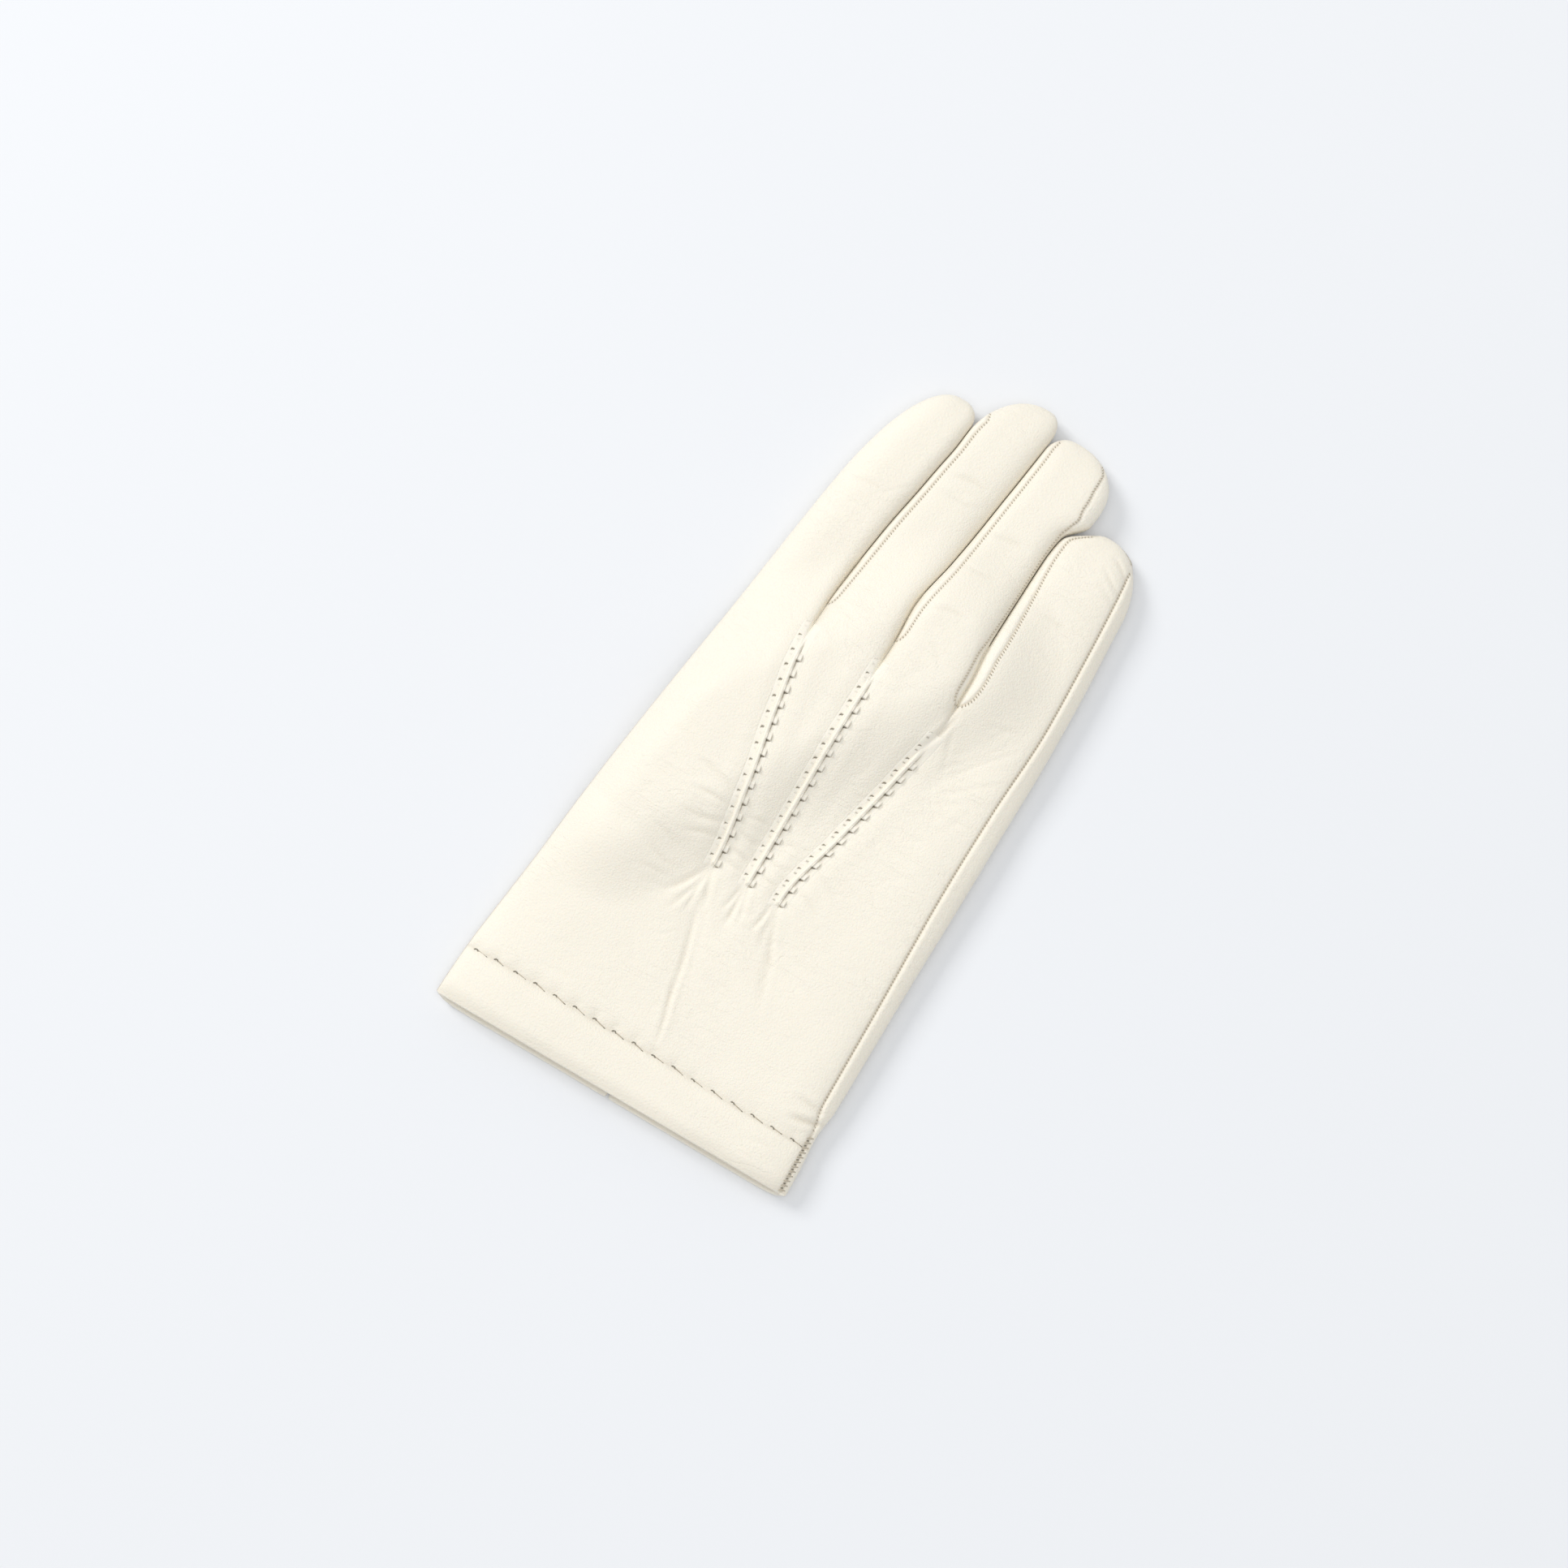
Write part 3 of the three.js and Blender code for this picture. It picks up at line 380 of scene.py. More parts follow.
def along_line(x, y, row):
    """Share along a row's plan line and signed distance to its left, for each point."""
    dx, dy = row["x2"] - row["x1"], row["y2"] - row["y1"]
    from_x, from_y = x - row["x1"], y - row["y1"]
    t = np.clip((from_x * dx + from_y * dy) / (dx**2 + dy**2), 0.0, 1.0)
    px, py = from_x - t * dx, from_y - t * dy
    away = np.hypot(px, py)
    return t, np.where(dx * py - dy * px >= 0, away, -away)


def soft_folds(x, y):
    """Depth of the broad folds: a bell-shaped furrow along each line of the table."""
    depth = np.zeros(np.broadcast(x, y).shape)
    for fold in FOLDS:
        t, away = along_line(x, y, fold)
        depth += fold["depth"] * bell(away, fold["width"]) * np.sin(math.pi * (0.15 + 0.85 * t))
    return depth


def creases(x, y, rows):
    """Height of sharp creases: a narrow furrow with a soft roll on its left side, fading at its ends."""
    height = np.zeros(np.broadcast(x, y).shape)
    for row in rows:
        t, signed = along_line(x, y, row)
        offset = (signed - row["bow"] * np.sin(math.pi * t)) / row["width"]
        fade = np.sin(math.pi * np.clip(0.06 + 0.88 * t, 0, 1)) ** 0.7
        end = bell(np.maximum(np.abs(signed) - 6 * row["width"], 0), row["width"])
        roll = 0.55 * bell(offset - 2.1, 1.3) + 0.25 * bell(offset + 2.2, 1.4)
        height += row["depth"] * (roll - bell(offset, 1.0)) * fade * end
    return height


def fine_creases(count):
    """Rows for short faint wrinkles strewn over the hand, mostly across it."""
    rng = np.random.default_rng(SEED)
    rows = []
    for _ in range(count):
        x, y = rng.uniform(-52, 54), rng.uniform(20, 235)
        angle, length = rng.normal(0.0, 0.55), rng.uniform(4.0, 13.0)
        end = (x + length * math.cos(angle), y + length * math.sin(angle))
        depth, width = rng.uniform(0.04, 0.13), rng.uniform(0.5, 1.1)
        rows.append((x, y, *end, depth, width, rng.normal(0.0, 0.6)))
    return rows_of("x1 y1 x2 y2 depth width bow", *rows)


FINE_CREASES = fine_creases(150)


def undulation(x, y):
    """Slow unevenness of soft leather: a sum of seeded plane waves, the longer the higher."""
    rng = np.random.default_rng(SEED + 1)
    height = np.zeros(np.broadcast(x, y).shape)
    for _ in range(16):
        wavelength = rng.uniform(14, 62)
        angle = rng.uniform(0, math.pi)
        phase = rng.uniform(0, 2 * math.pi)
        across = (x * math.cos(angle) + y * math.sin(angle)) / wavelength
        height += 0.0015 * wavelength * np.sin(2 * math.pi * across + phase)
    return height


# Stitches: their pitches in mm and how much they slant
HEM_PITCH = 6.9
HEM_FIRST = -57.0
HEM_UNDER_PITCH = 3.2
WHIP_PITCH = 1.6
SEAM_PITCH = 1.0
SIDE_PITCH = 1.07
PALM_PITCH = 1.3
SEAM_SLANT = 62  # degrees between a seam's stitches and the seam
SIDE_SLANT = 58
THUMB_SLANT = 55
THREAD_RADIUS = 0.17
RIM = (-1.5, 6.0)  # between these y the leather rounds down to the mouth's edge
CREASE_TOPS = (147.0, 147.0, 146.0)  # where the crease above each point starts
EDGE_FULLNESS = 0.55  # relief fades out below this fullness, towards a finger's edge


def hem_line(x):
    """Where the hem's stitches run: a little nearer the edge on the little finger's side."""
    return HEM_DEPTH - 1.2 * smooth(-55.0, 55.0, x)


def hem_relief(x, y):
    """The hem: a fuller band up to the stitch line, a furrow at it and puckers above it."""
    from_line = y - hem_line(x)
    furrow = -0.42 * bell(from_line, 0.55) - 0.25 * bell(from_line, 2.2)
    near_rim = 1 - np.sqrt(1 - np.clip(1 - y / 5.0, 0.0, 1.0) ** 2)
    rim = -0.85 * (1 - smooth(*RIM, y)) ** 1.5 - 1.35 * near_rim
    band = 0.18 * smooth(1.0, 5.0, y) * (1 - smooth(-5.0, -0.5, from_line))
    phase = 2 * math.pi * (x - HEM_FIRST) / HEM_PITCH
    pucker = (0.5 + 0.5 * np.cos(phase)) ** 2 * (1 - 0.6 * smooth(-10.0, 25.0, x))
    pull = -0.38 * pucker * bell(from_line - 1.0, 1.5)
    puff = 0.16 * (1 - pucker) * bell(from_line - 2.4, 1.6)
    return furrow + rim + band + pull + puff


def seam_relief(x, y):
    """The side seam: a furrow on its line and a rolled welt beside it."""
    away = x - side_seam(y)
    furrow = -0.62 * bell(away, 0.42) - 0.22 * bell(away, 1.6)
    return (furrow + 0.28 * bell(away - 1.5, 0.8)) * (1 - smooth(212.0, 219.0, y))


def gap_relief(x, y):
    """Where the fingers press together above the points: a narrow crease on each line between them."""
    height = np.zeros(np.broadcast(x, y).shape)
    for line, gap, top in zip(gap_lines, GAPS, CREASE_TOPS):
        away = x - line(y)
        here = within(top - 1.0, top + 7.0, gap["slit"] - 4.0, gap["slit"] + 3.0, y)
        height -= here * (bell(away, 0.55) + 0.45 * bell(away, 1.8))
    return height


def point_pull(x, y):
    """The leather beside each point is drawn down a little towards its stitches."""
    height = np.zeros(np.broadcast(x, y).shape)
    for line, point in zip(gap_lines, POINTS):
        away = np.abs(x - line(y))
        here = within(point["low"] - 5.0, point["low"] + 2.0, point["high"] - 1, point["high"] + 5, y)
        height += here * (-0.30 * bell(away, 3.4) + 0.22 * bell(away - 6.0, 2.6))
    return height


def under_points(x, y):
    """1 under a point, where the leather is drawn down into it, and 0 beside it."""
    share = np.zeros(np.broadcast(x, y).shape)
    for line, point in zip(gap_lines, POINTS):
        along = within(point["low"] - 1.0, point["low"] + 0.6, point["high"] + 3.0, point["high"] + 4.8, y)
        share = np.maximum(share, (1 - smooth(1.9, 2.8, np.abs(x - line(y)))) * along)
    return share


def relief(x, y):
    """All small relief of the back at a plan point, outside the points themselves."""
    kinds = (undulation, hem_relief, seam_relief, gap_relief, point_pull)
    return creases(x, y, CREASES + FINE_CREASES) + sum(kind(x, y) for kind in kinds)


def palm_relief(x, y):
    """Small relief of the palm: its hem, slow unevenness, and clearance for the vent's bindings."""
    hem = 0.35 * bell(y - HEM_DEPTH, 0.9)
    vent = 0.30 * (1 - smooth(3.2, 5.0, np.abs(x - VENT_X))) * (1 - smooth(VENT_LENGTH, VENT_LENGTH + 3, y))
    return hem + vent + 0.5 * undulation(x + 31.0, y - 17.0)


def skin(i, x, y, inset=0.0, under=False, with_relief=True):
    """Height of finger i's skin, or of its share of the hand, over a plan point."""
    left, right = sides(i, y, inset)
    full = fullness(i, y, np.maximum(x - left, 0), np.maximum(right - x, 0), inset, under)
    middle = below(y) + lift(x, y)
    small = 0.0
    if with_relief:
        small = (palm_relief if under else relief)(x, y) * smooth(0.0, EDGE_FULLNESS, full)
    if under:
        return np.maximum(middle - (below(y) - inset) * full + small, FLOOR_GAP + inset)
    return middle + (above(y) - inset - soft_folds(x, y)) * full + small


def height_over(x, y, under=False):
    """Height of the back, or of the palm, over plan points anywhere on the glove."""
    x, y = np.broadcast_arrays(np.asarray(x, float), np.asarray(y, float))
    which = sum((x > line(y)).astype(int) for line in gap_lines)
    height = np.zeros(x.shape)
    for i in range(4):
        here = which == i
        if here.any():
            height[here] = skin(i, x[here], y[here], 0.0, under)
    return height


def seam(i, y, on_left, under):
    """Where finger i's leather starts on its left, or ends on its right.

    That is its side, or else the fourchette's seam, which is round at the crotch and fades at the tip.
    """
    left, right = sides(i, y)
    gap = i - 1 if on_left else i
    if not 0 <= gap <= 2:
        return left if on_left else right
    rows = SEAMS[under][gap]
    start = np.sqrt(1 - (1 - np.clip((y - rows["y"][0]) / SEAM_ROUND, 0.0, 1.0)) ** 2)
    ending = 1 - smooth(rows["y"][-1], rows["y"][-1] + SEAM_RUNOUT, y)
    near_tip = closing(y, FINGERS[i]["tip_y"] - 12.0, FINGERS[i]["tip_y"] - 1.0)
    width = column(rows, "right" if on_left else "left")(y) * start * ending * near_tip
    middle = (left + right) / 2
    return np.minimum(left + width, middle) if on_left else np.maximum(right - width, middle)


def new_object(name, data):
    """An object in the scene for a mesh, a light or a camera."""
    item = bpy.data.objects.new(name, data)
    bpy.context.scene.collection.objects.link(item)
    return item


class Surface:
    """Collects grids of points in mm, each with a value of painted shade for its creases and seams, and
    turns them into one mesh.
    """

    def __init__(self):
        self.points = []
        self.painted_shades = []
        self.faces = []
        self.count = 0

    def grid(self, points, turned=False, tone_and_painted_shade=0.0, keep=None):
        """Adds one grid of points, or a row of grids. keep says which of its faces stay."""
        shape = points.shape[:-1]
        index = np.arange(math.prod(shape)).reshape(shape) + self.count
        corners = [index[..., :-1, :-1], index[..., :-1, 1:], index[..., 1:, 1:], index[..., 1:, :-1]]
        quads = np.stack(corners[::-1] if turned else corners, axis=-1)
        self.points.append(points.reshape(-1, 3))
        self.painted_shades.append(np.broadcast_to(tone_and_painted_shade, shape).ravel())
        self.faces.append((quads if keep is None else quads[keep]).reshape(-1, 4))
        self.count += index.size

    def build(self, name, material):
        """Merges equal points, drops faces without area, and makes the object in metres."""
        points, painted_shades, faces = (np.concatenate(part) for part in (self.points, self.painted_shades, self.faces))
        keys = np.round(points * MERGED_PER_MM + 0.137).astype(np.int64)
        _, first, back = np.unique(keys, axis=0, return_index=True, return_inverse=True)
        faces = back.ravel()[faces]
        equal = faces == np.roll(faces, -1, axis=1)
        quads = faces[equal.sum(axis=1) == 0]
        single = equal.sum(axis=1) == 1
        order = (equal[single].argmax(axis=1)[:, None] + np.arange(1, 4)) % 4
        triangles = np.take_along_axis(faces[single], order, axis=1)
        used, compact = np.unique(np.concatenate([quads.ravel(), triangles.ravel()]), return_inverse=True)
        split = quads.size
        faces = compact[:split].reshape(-1, 4).tolist() + compact[split:].reshape(-1, 3).tolist()
        place = (points[first][used] - np.array([*PLAN_CENTRE, 0.0])) / 1000.0
        mesh = bpy.data.meshes.new(name)
        mesh.from_pydata(place.tolist(), [], faces)
        values = painted_shades[first][used].astype(np.float32)
        mesh.attributes.new("tone_and_painted_shade", "FLOAT", "POINT").data.foreach_set("value", values)
        mesh.polygons.foreach_set("use_smooth", np.ones(len(mesh.polygons), bool))
        mesh.materials.append(material)
        mesh.update()
        return new_object(name, mesh)


def sheet(name, material, points, turned=False, tone_and_painted_shade=0.0):
    """A piece that is one grid of points."""
    surface = Surface()
    surface.grid(points, turned, tone_and_painted_shade)
    return surface.build(name, material)


def add(tree, kind, settings=None, values=None):
    """A new node with its settings. A value that is a socket is linked, any other is set on its input."""
    node = tree.nodes.new(kind)
    for key, value in (settings or {}).items():
        setattr(node, key, value)
    for key, value in (values or {}).items():
        if isinstance(value, bpy.types.NodeSocket):
            tree.links.new(value, node.inputs[key])
        else:
            node.inputs[key].default_value = value
    return node


def maths(tree, operation, first, second=None, clamp=False):
    """The output of a maths node on sockets or numbers."""
    values = {0: first} if second is None else {0: first, 1: second}
    return add(tree, "ShaderNodeMath", {"operation": operation, "use_clamp": clamp}, values).outputs[0]


def scaled(tree, value, factor, offset):
    """A socket's value times a factor, plus an offset."""
    return maths(tree, "ADD", maths(tree, "MULTIPLY", value, factor), offset)


def noise(tree, vector, scale, detail, more=None):
    """The outputs of a noise texture over a vector."""
    values = {"Vector": vector, "Scale": scale, "Detail": detail} | (more or {})
    return add(tree, "ShaderNodeTexNoise", {}, values).outputs


def waves(tree, vector, direction, scale, distortion, detail):
    """The output of a texture of bands over a vector."""
    settings = {"wave_type": "BANDS", "bands_direction": direction}
    values = {"Vector": vector, "Scale": scale, "Distortion": distortion, "Detail": detail}
    return add(tree, "ShaderNodeTexWave", settings, values).outputs["Fac"]


def new_group(name, inputs, outputs):
    """A node group that reads a vector and further inputs, with the sockets inside it."""
    group = bpy.data.node_groups.new(name, "ShaderNodeTree")
    group.interface.new_socket("Vector", in_out="INPUT", socket_type="NodeSocketVector")
    for label, value in inputs.items():
        kind = "NodeSocketColor" if isinstance(value, tuple) else "NodeSocketFloat"
        group.interface.new_socket(label, in_out="INPUT", socket_type=kind).default_value = value
    for label in outputs:
        kind = "NodeSocketColor" if label == "Color" else "NodeSocketFloat"
        group.interface.new_socket(label, in_out="OUTPUT", socket_type=kind)
    return group, group.nodes.new("NodeGroupInput").outputs, group.nodes.new("NodeGroupOutput").inputs


def link(tree, sockets, values):
    """Links a socket to each named one."""
    for key, value in values.items():
        tree.links.new(value, sockets[key])


def grain_group():
    """Leather grain: small pebbles between fine furrows, with pores, as a height and a tone."""
    group, source, result = new_group("leather grain", {"Size": 0.0006}, ("Height", "Tone"))
    vector = source["Vector"]
    scale = maths(group, "DIVIDE", 1.0, source["Size"])
    warp = {0: noise(group, vector, 700.0, 2.0)["Color"], 1: (0.0005, 0.0005, 0.0005), 2: vector}
    warped = add(group, "ShaderNodeVectorMath", {"operation": "MULTIPLY_ADD"}, warp).outputs[0]
    look = {"Vector": warped, "Scale": scale, "Smoothness": 0.6, "Randomness": 1.0}
    pebbles = add(group, "ShaderNodeTexVoronoi", {"feature": "SMOOTH_F1"}, look)
    fine = noise(group, vector, maths(group, "MULTIPLY", scale, 0.8), 5.0, {"Roughness": 0.65})["Fac"]
    domes = maths(group, "MULTIPLY", maths(group, "SUBTRACT", 1.0, pebbles.outputs["Distance"]), 0.55)
    height = maths(group, "ADD", domes, maths(group, "MULTIPLY", fine, 0.65))
    link(group, result, {"Height": height, "Tone": fine})
    return group


def wrinkle_group():
    """Fine wrinkles: thin broken furrows, run together in patches, as a height."""
    group, source, result = new_group("fine wrinkles", {"Scale": 190.0}, ("Height",))
    shape = {"Vector": source["Vector"], "Scale": (0.55, 1.5, 1.0), "Rotation": (0.0, 0.0, 0.25)}
    stretched = add(group, "ShaderNodeMapping", {}, shape).outputs["Vector"]
    look = {"Roughness": 0.55, "Distortion": 0.7}
    ridges = noise(group, stretched, source["Scale"], 3.0, look)["Fac"]
    patches = noise(group, source["Vector"], 42.0, 1.0)["Fac"]
    centred = maths(group, "ABSOLUTE", maths(group, "SUBTRACT", ridges, 0.5))
    narrow = maths(group, "SUBTRACT", 1.0, maths(group, "MULTIPLY", centred, 6.0), True)
    where = maths(group, "MULTIPLY", maths(group, "SUBTRACT", patches, 0.42), 5.0, True)
    furrow = maths(group, "MULTIPLY", maths(group, "POWER", narrow, 2.0), where)
    link(group, result, {"Height": maths(group, "MULTIPLY", furrow, -1.0)})
    return group


def tone_and_painted_shade_group():
    """Tone of the leather: soft patches at random, and painted shade from the mesh's value, a little deeper
    in creases and seams.
    """
    inputs = {"Leather": (0.9, 0.85, 0.75, 1.0), "Painted shade": (0.6, 0.52, 0.42, 1.0), "Fine": 0.5}
    group, source, result = new_group("leather tone and painted shade", inputs, ("Color", "Patches"))
    patches = noise(group, source["Vector"], 28.0, 3.0, {"Roughness": 0.55})["Fac"]
    speck = scaled(group, source["Fine"], 0.05, 0.975)
    value = maths(group, "MULTIPLY", scaled(group, patches, 0.07, 0.955), speck)
    shaded = add(group, "ShaderNodeHueSaturation", {}, {"Color": source["Leather"], "Value": value})
    tone_and_painted_shade = add(group, "ShaderNodeAttribute", {"attribute_name": "tone_and_painted_shade"}).outputs["Fac"]
    # The mesh's value mixes in the painted shade colour
    mixed = {"Factor": tone_and_painted_shade, 6: shaded.outputs["Color"], 7: source["Painted shade"]}
    deepened = add(group, "ShaderNodeMix", {"data_type": "RGBA"}, mixed).outputs[2]
    link(group, result, {"Color": deepened, "Patches": patches})
    return group


def thread_group():
    """Twisted thread: slanting ridges along it, as a height."""
    group, source, result = new_group("thread twist", {}, ("Height", "Tone"))
    twist = waves(group, source["Vector"], "DIAGONAL", 900.0, 1.5, 2.0)
    link(group, result, {"Height": twist, "Tone": noise(group, source["Vector"], 2500.0, 3.0)["Fac"]})
    return group


def knit_group():
    """Fine knit: columns of small loops, as a height and a tone."""
    group, source, result = new_group("fine knit", {}, ("Height", "Tone"))
    vector = source["Vector"]
    columns = waves(group, vector, "X", 260.0, 1.2, 1.0)
    loops = maths(group, "MULTIPLY", columns, waves(group, vector, "Y", 340.0, 1.2, 1.0))
    fuzz = noise(group, vector, 1400.0, 4.0)["Fac"]
    height = maths(group, "ADD", loops, maths(group, "MULTIPLY", fuzz, 0.4))
    link(group, result, {"Height": height, "Tone": fuzz})
    return group


def new_material(name, values):
    """A material, its node tree, its Principled shader's inputs and the object coordinates."""
    material = bpy.data.materials.new(name)
    material.use_nodes = True
    tree = material.node_tree
    tree.nodes.clear()
    shader = add(tree, "ShaderNodeBsdfPrincipled", {}, values)
    add(tree, "ShaderNodeOutputMaterial", {}, {"Surface": shader.outputs["BSDF"]})
    return material, tree, shader.inputs, add(tree, "ShaderNodeTexCoord").outputs["Object"]


def use_group(tree, group, where, values=None):
    """The outputs of a group node that reads the object coordinates and further values."""
    return add(tree, "ShaderNodeGroup", {"node_tree": group}, {"Vector": where} | (values or {})).outputs


def bump(tree, height, strength, distance, under=None):
    """A bump of a height, over another bump if one is given."""
    values = {"Strength": strength, "Distance": distance, "Height": height}
    if under is not None:
        values["Normal"] = under
    return add(tree, "ShaderNodeBump", {}, values).outputs["Normal"]


def leather(name, colour, painted_shade_colour, roughness=0.5, grain_size=0.0006, grain_depth=1.0):
    """Soft smooth leather: grain over fine wrinkles, tone patches, and a low satin sheen."""
    values = {"Roughness": roughness, "Specular IOR Level": 0.35, "Sheen Weight": 0.06}
    values |= {"Subsurface Weight": 0.06, "Subsurface Radius": (1.0, 0.75, 0.5), "Subsurface Scale": 0.0012}
    material, tree, shader, where = new_material(name, values)
    grain = use_group(tree, GRAIN, where, {"Size": grain_size})
    # The second colour is painted shade, mixed in by the mesh's value in creases, seams and tucks
    colours = {"Leather": (*colour, 1.0), "Painted shade": (*painted_shade_colour, 1.0), "Fine": grain["Tone"]}
    tone_and_painted_shade = use_group(tree, TONE_AND_PAINTED_SHADE, where, colours)
    gloss = scaled(tree, tone_and_painted_shade["Patches"], 0.16, roughness - 0.08)
    soft = bump(tree, use_group(tree, WRINKLES, where)["Height"], *WRINKLE_BUMP)
    normal = bump(tree, grain["Height"], grain_depth, GRAIN_HEIGHT, soft)
    link(tree, shader, {"Base Color": tone_and_painted_shade["Color"], "Roughness": gloss, "Normal": normal})
    return material


def fibre(name, colour, group, depth, roughness):
    """Thread or knit: matt fibre with the group's height and tone."""
    values = {"Roughness": roughness, "Specular IOR Level": 0.2, "Sheen Weight": 0.25}
    material, tree, shader, where = new_material(name, values)
    texture = use_group(tree, group, where)
    shade = {"Color": (*colour, 1.0), "Value": scaled(tree, texture["Tone"], 0.3, 0.85)}
    shaded = add(tree, "ShaderNodeHueSaturation", {}, shade).outputs["Color"]
    link(tree, shader, {"Base Color": shaded, "Normal": bump(tree, texture["Height"], 0.6, depth)})
    return material


WRINKLE_BUMP = (0.50, 0.00017)
GRAIN_HEIGHT = 0.00019
# Painted shade: the warm darker colour mixed into the leather in creases, seams, tucks and the valleys
# between the fingers
SHADED_CREASE = (0.56, 0.48, 0.36)
GRAIN, WRINKLES, TONE_AND_PAINTED_SHADE = grain_group(), wrinkle_group(), tone_and_painted_shade_group()
LEATHER = leather("ivory leather", (0.92, 0.862, 0.742), SHADED_CREASE)
STRIP_LEATHER = leather("ivory leather of the fingers' strips", (0.94, 0.885, 0.77), SHADED_CREASE, 0.48)
# Its second colour is a deep painted shadow for the points' ticks, wedges and dents
POINT_LEATHER = leather("stitched leather", (0.93, 0.875, 0.76), (0.30, 0.265, 0.21), 0.5, 0.0005, 0.45)
TWIST = thread_group()
# The thread's own beige is darkened further as painted shade, for the shadow in its needle holes
THREAD_WITH_PAINTED_SHADE = fibre("beige thread", (0.50, 0.44, 0.345), TWIST, 0.00005, 0.75)
# Painted shadow: a dark brown for the rods that stand for the shadow in the needle holes
SHADED_THREAD = fibre("painted shadow of the needle holes", (0.25, 0.225, 0.175), TWIST, 0.00005, 0.85)
KNIT = fibre("cashmere knit", (0.80, 0.74, 0.64), knit_group(), 0.0003, 0.9)


def hold(piece, slot, *nodes):
    """The piece rides on the one body and stands for CAD nodes, which it hides. The slot is not used."""
    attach(piece, "root")
    if nodes:
        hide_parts(*nodes)
    return piece


def stack(x, y, z):
    """Plan and height arrays as points."""
    return np.stack(np.broadcast_arrays(x, y, z), axis=-1).astype(float)


FIRST_ROW = 0.8
OWN_ROWS = 180.0  # above this y, which is past the slits, each finger has its own rows


def finger_rows(i, common_step, finger_count):
    """Rows of finger i: even ones that neighbours share, then its own, closer towards its tip."""
    shared = np.linspace(FIRST_ROW, OWN_ROWS, int((OWN_ROWS - FIRST_ROW) / common_step))
    t = np.linspace(0.0, 1.0, finger_count + 1)[1:]
    own = OWN_ROWS + (FINGERS[i]["tip_y"] - OWN_ROWS) * (0.25 * t + 0.75 * np.sin(math.pi / 2 * t))
    return np.concatenate([shared, own])


def spread(count, closeness):
    """Shares from 0 to 1, closer together at both ends."""
    t = np.linspace(0.0, 1.0, count + 1)
    return t - closeness * np.sin(2 * math.pi * t) / (2 * math.pi)


ROW_STEP = 0.74
FINGER_ROWS = 104
BACK_COLUMNS = 42
PALM_COLUMNS = 12
SEAM_COLUMNS = np.array([-1.0, -0.65, -0.40, -0.24, -0.10, 0.0, 0.10, 0.24, 0.45, 0.70, 0.95, 1.25])


def across_strip(left, right, seam):
    """Columns from left to right, evenly spread, but close together along a seam that crosses them."""
    width = right - left
    centre = left + width * np.clip((seam - left) / np.maximum(width, 1e-6), 0.30, 0.90)
    half = 1.7 * np.minimum(width / 14.0, 1.0)
    near = centre + half * SEAM_COLUMNS
    before = left + (near[:, :1] - left) * spread(BACK_COLUMNS - 8, 0.3)[:-1]
    after = near[:, -1:] + (right - near[:, -1:]) * np.sin(math.pi / 2 * np.linspace(0.0, 1.0, 8)[1:])
    return np.concatenate([before, near, after], axis=1)


def beside_vent(points, reach):
    """Which faces of a grid of the palm stay, so that the vent's slit is open."""
    centre = (points[:-1, :-1] + points[1:, 1:]) / 2
    return (np.abs(centre[..., 0] - VENT_X) >= reach) | (centre[..., 1] >= VENT_LENGTH - 1)


def mouth_step(y, full):
    """How far the palm's side of the cuff reaches out past the back's, at a point's fullness."""
    return MOUTH_STEP * (1 - smooth(0.0, HEM_DEPTH, y)) * full


def trank():
    """The back and palm, one folded leather: skins of the four fingers between the fourchettes' seams.

    Across each finger x runs from seam to seam, and z is the skin's height there. At a seam the leather
    dips and is turned in. At the mouth a half round joins the outer skin to the hem turned in behind it.
    """
    surface = Surface()
    for under in (False, True):
        shares = spread(PALM_COLUMNS, 0.3) if under else spread(BACK_COLUMNS, 0.55)
        sign = -1.0 if under else 1.0
        for i in range(4):
            y = finger_rows(i, ROW_STEP, FINGER_ROWS)[:, None]
            side_left, side_right = sides(i, y)
            left, right = seam(i, y, True, under), seam(i, y, False, under)
            x = left + (right - left) * shares
            if i == 3 and not under:
                x = across_strip(left, right, side_seam(y))
            opened = []
            for gap, width in ((i - 1, left - side_left), (i, side_right - right)):
                low = SEAMS[under][gap]["y"][0] if 0 <= gap <= 2 else LONGEST
                opened.append(smooth(0, SEAM_WIDTH, width) * smooth(low, low + 2, y))
            dip = opened[0] * np.exp((left - x) / DIP_REACH) + opened[1] * np.exp((x - right) / DIP_REACH)
            z = skin(i, x, y, 0.0, under) - sign * SEAM_DIP * dip
            # Painted shade in a seam's dip, where the leather is turned in
            tone_and_painted_shade = 0.35 * np.clip(dip, 0, 1)
            if under:
                z = np.maximum(z, FLOOR_GAP)
                y = y - mouth_step(y, fullness(i, y, x - side_left, side_right - x, 0.0, True))
            else:
                tone_and_painted_shade = tone_and_painted_shade + painted_shade_of_back(x, y)
                z = z - POINT_DEPTH * under_points(x, y)
            outer = stack(x, y, z)
            edges = []
            for edge, out, amount in ((outer[:, :1], -1.0, opened[0]), (outer[:, -1:], 1.0, opened[1])):
                for sideways, down in TURNED_IN:
                    edges.append(edge + amount[..., None] * np.array([out * sideways, 0.0, -sign * down]))
            whole = np.concatenate([edges[1], edges[0], outer, edges[2], edges[3]], axis=1)
            # The turned-in edges carry painted shade of 0.6
            painted_shades = np.pad(tone_and_painted_shade, ((0, 0), (2, 2)), constant_values=0.6)
            keep = beside_vent(whole, VENT_REACH) if under else None
            surface.grid(whole, under, painted_shades, keep)
            hem(surface, i, (x[0] - x[0, 0]) / (x[0, -1] - x[0, 0]), outer[0], under)
    return surface.build("trank", LEATHER)


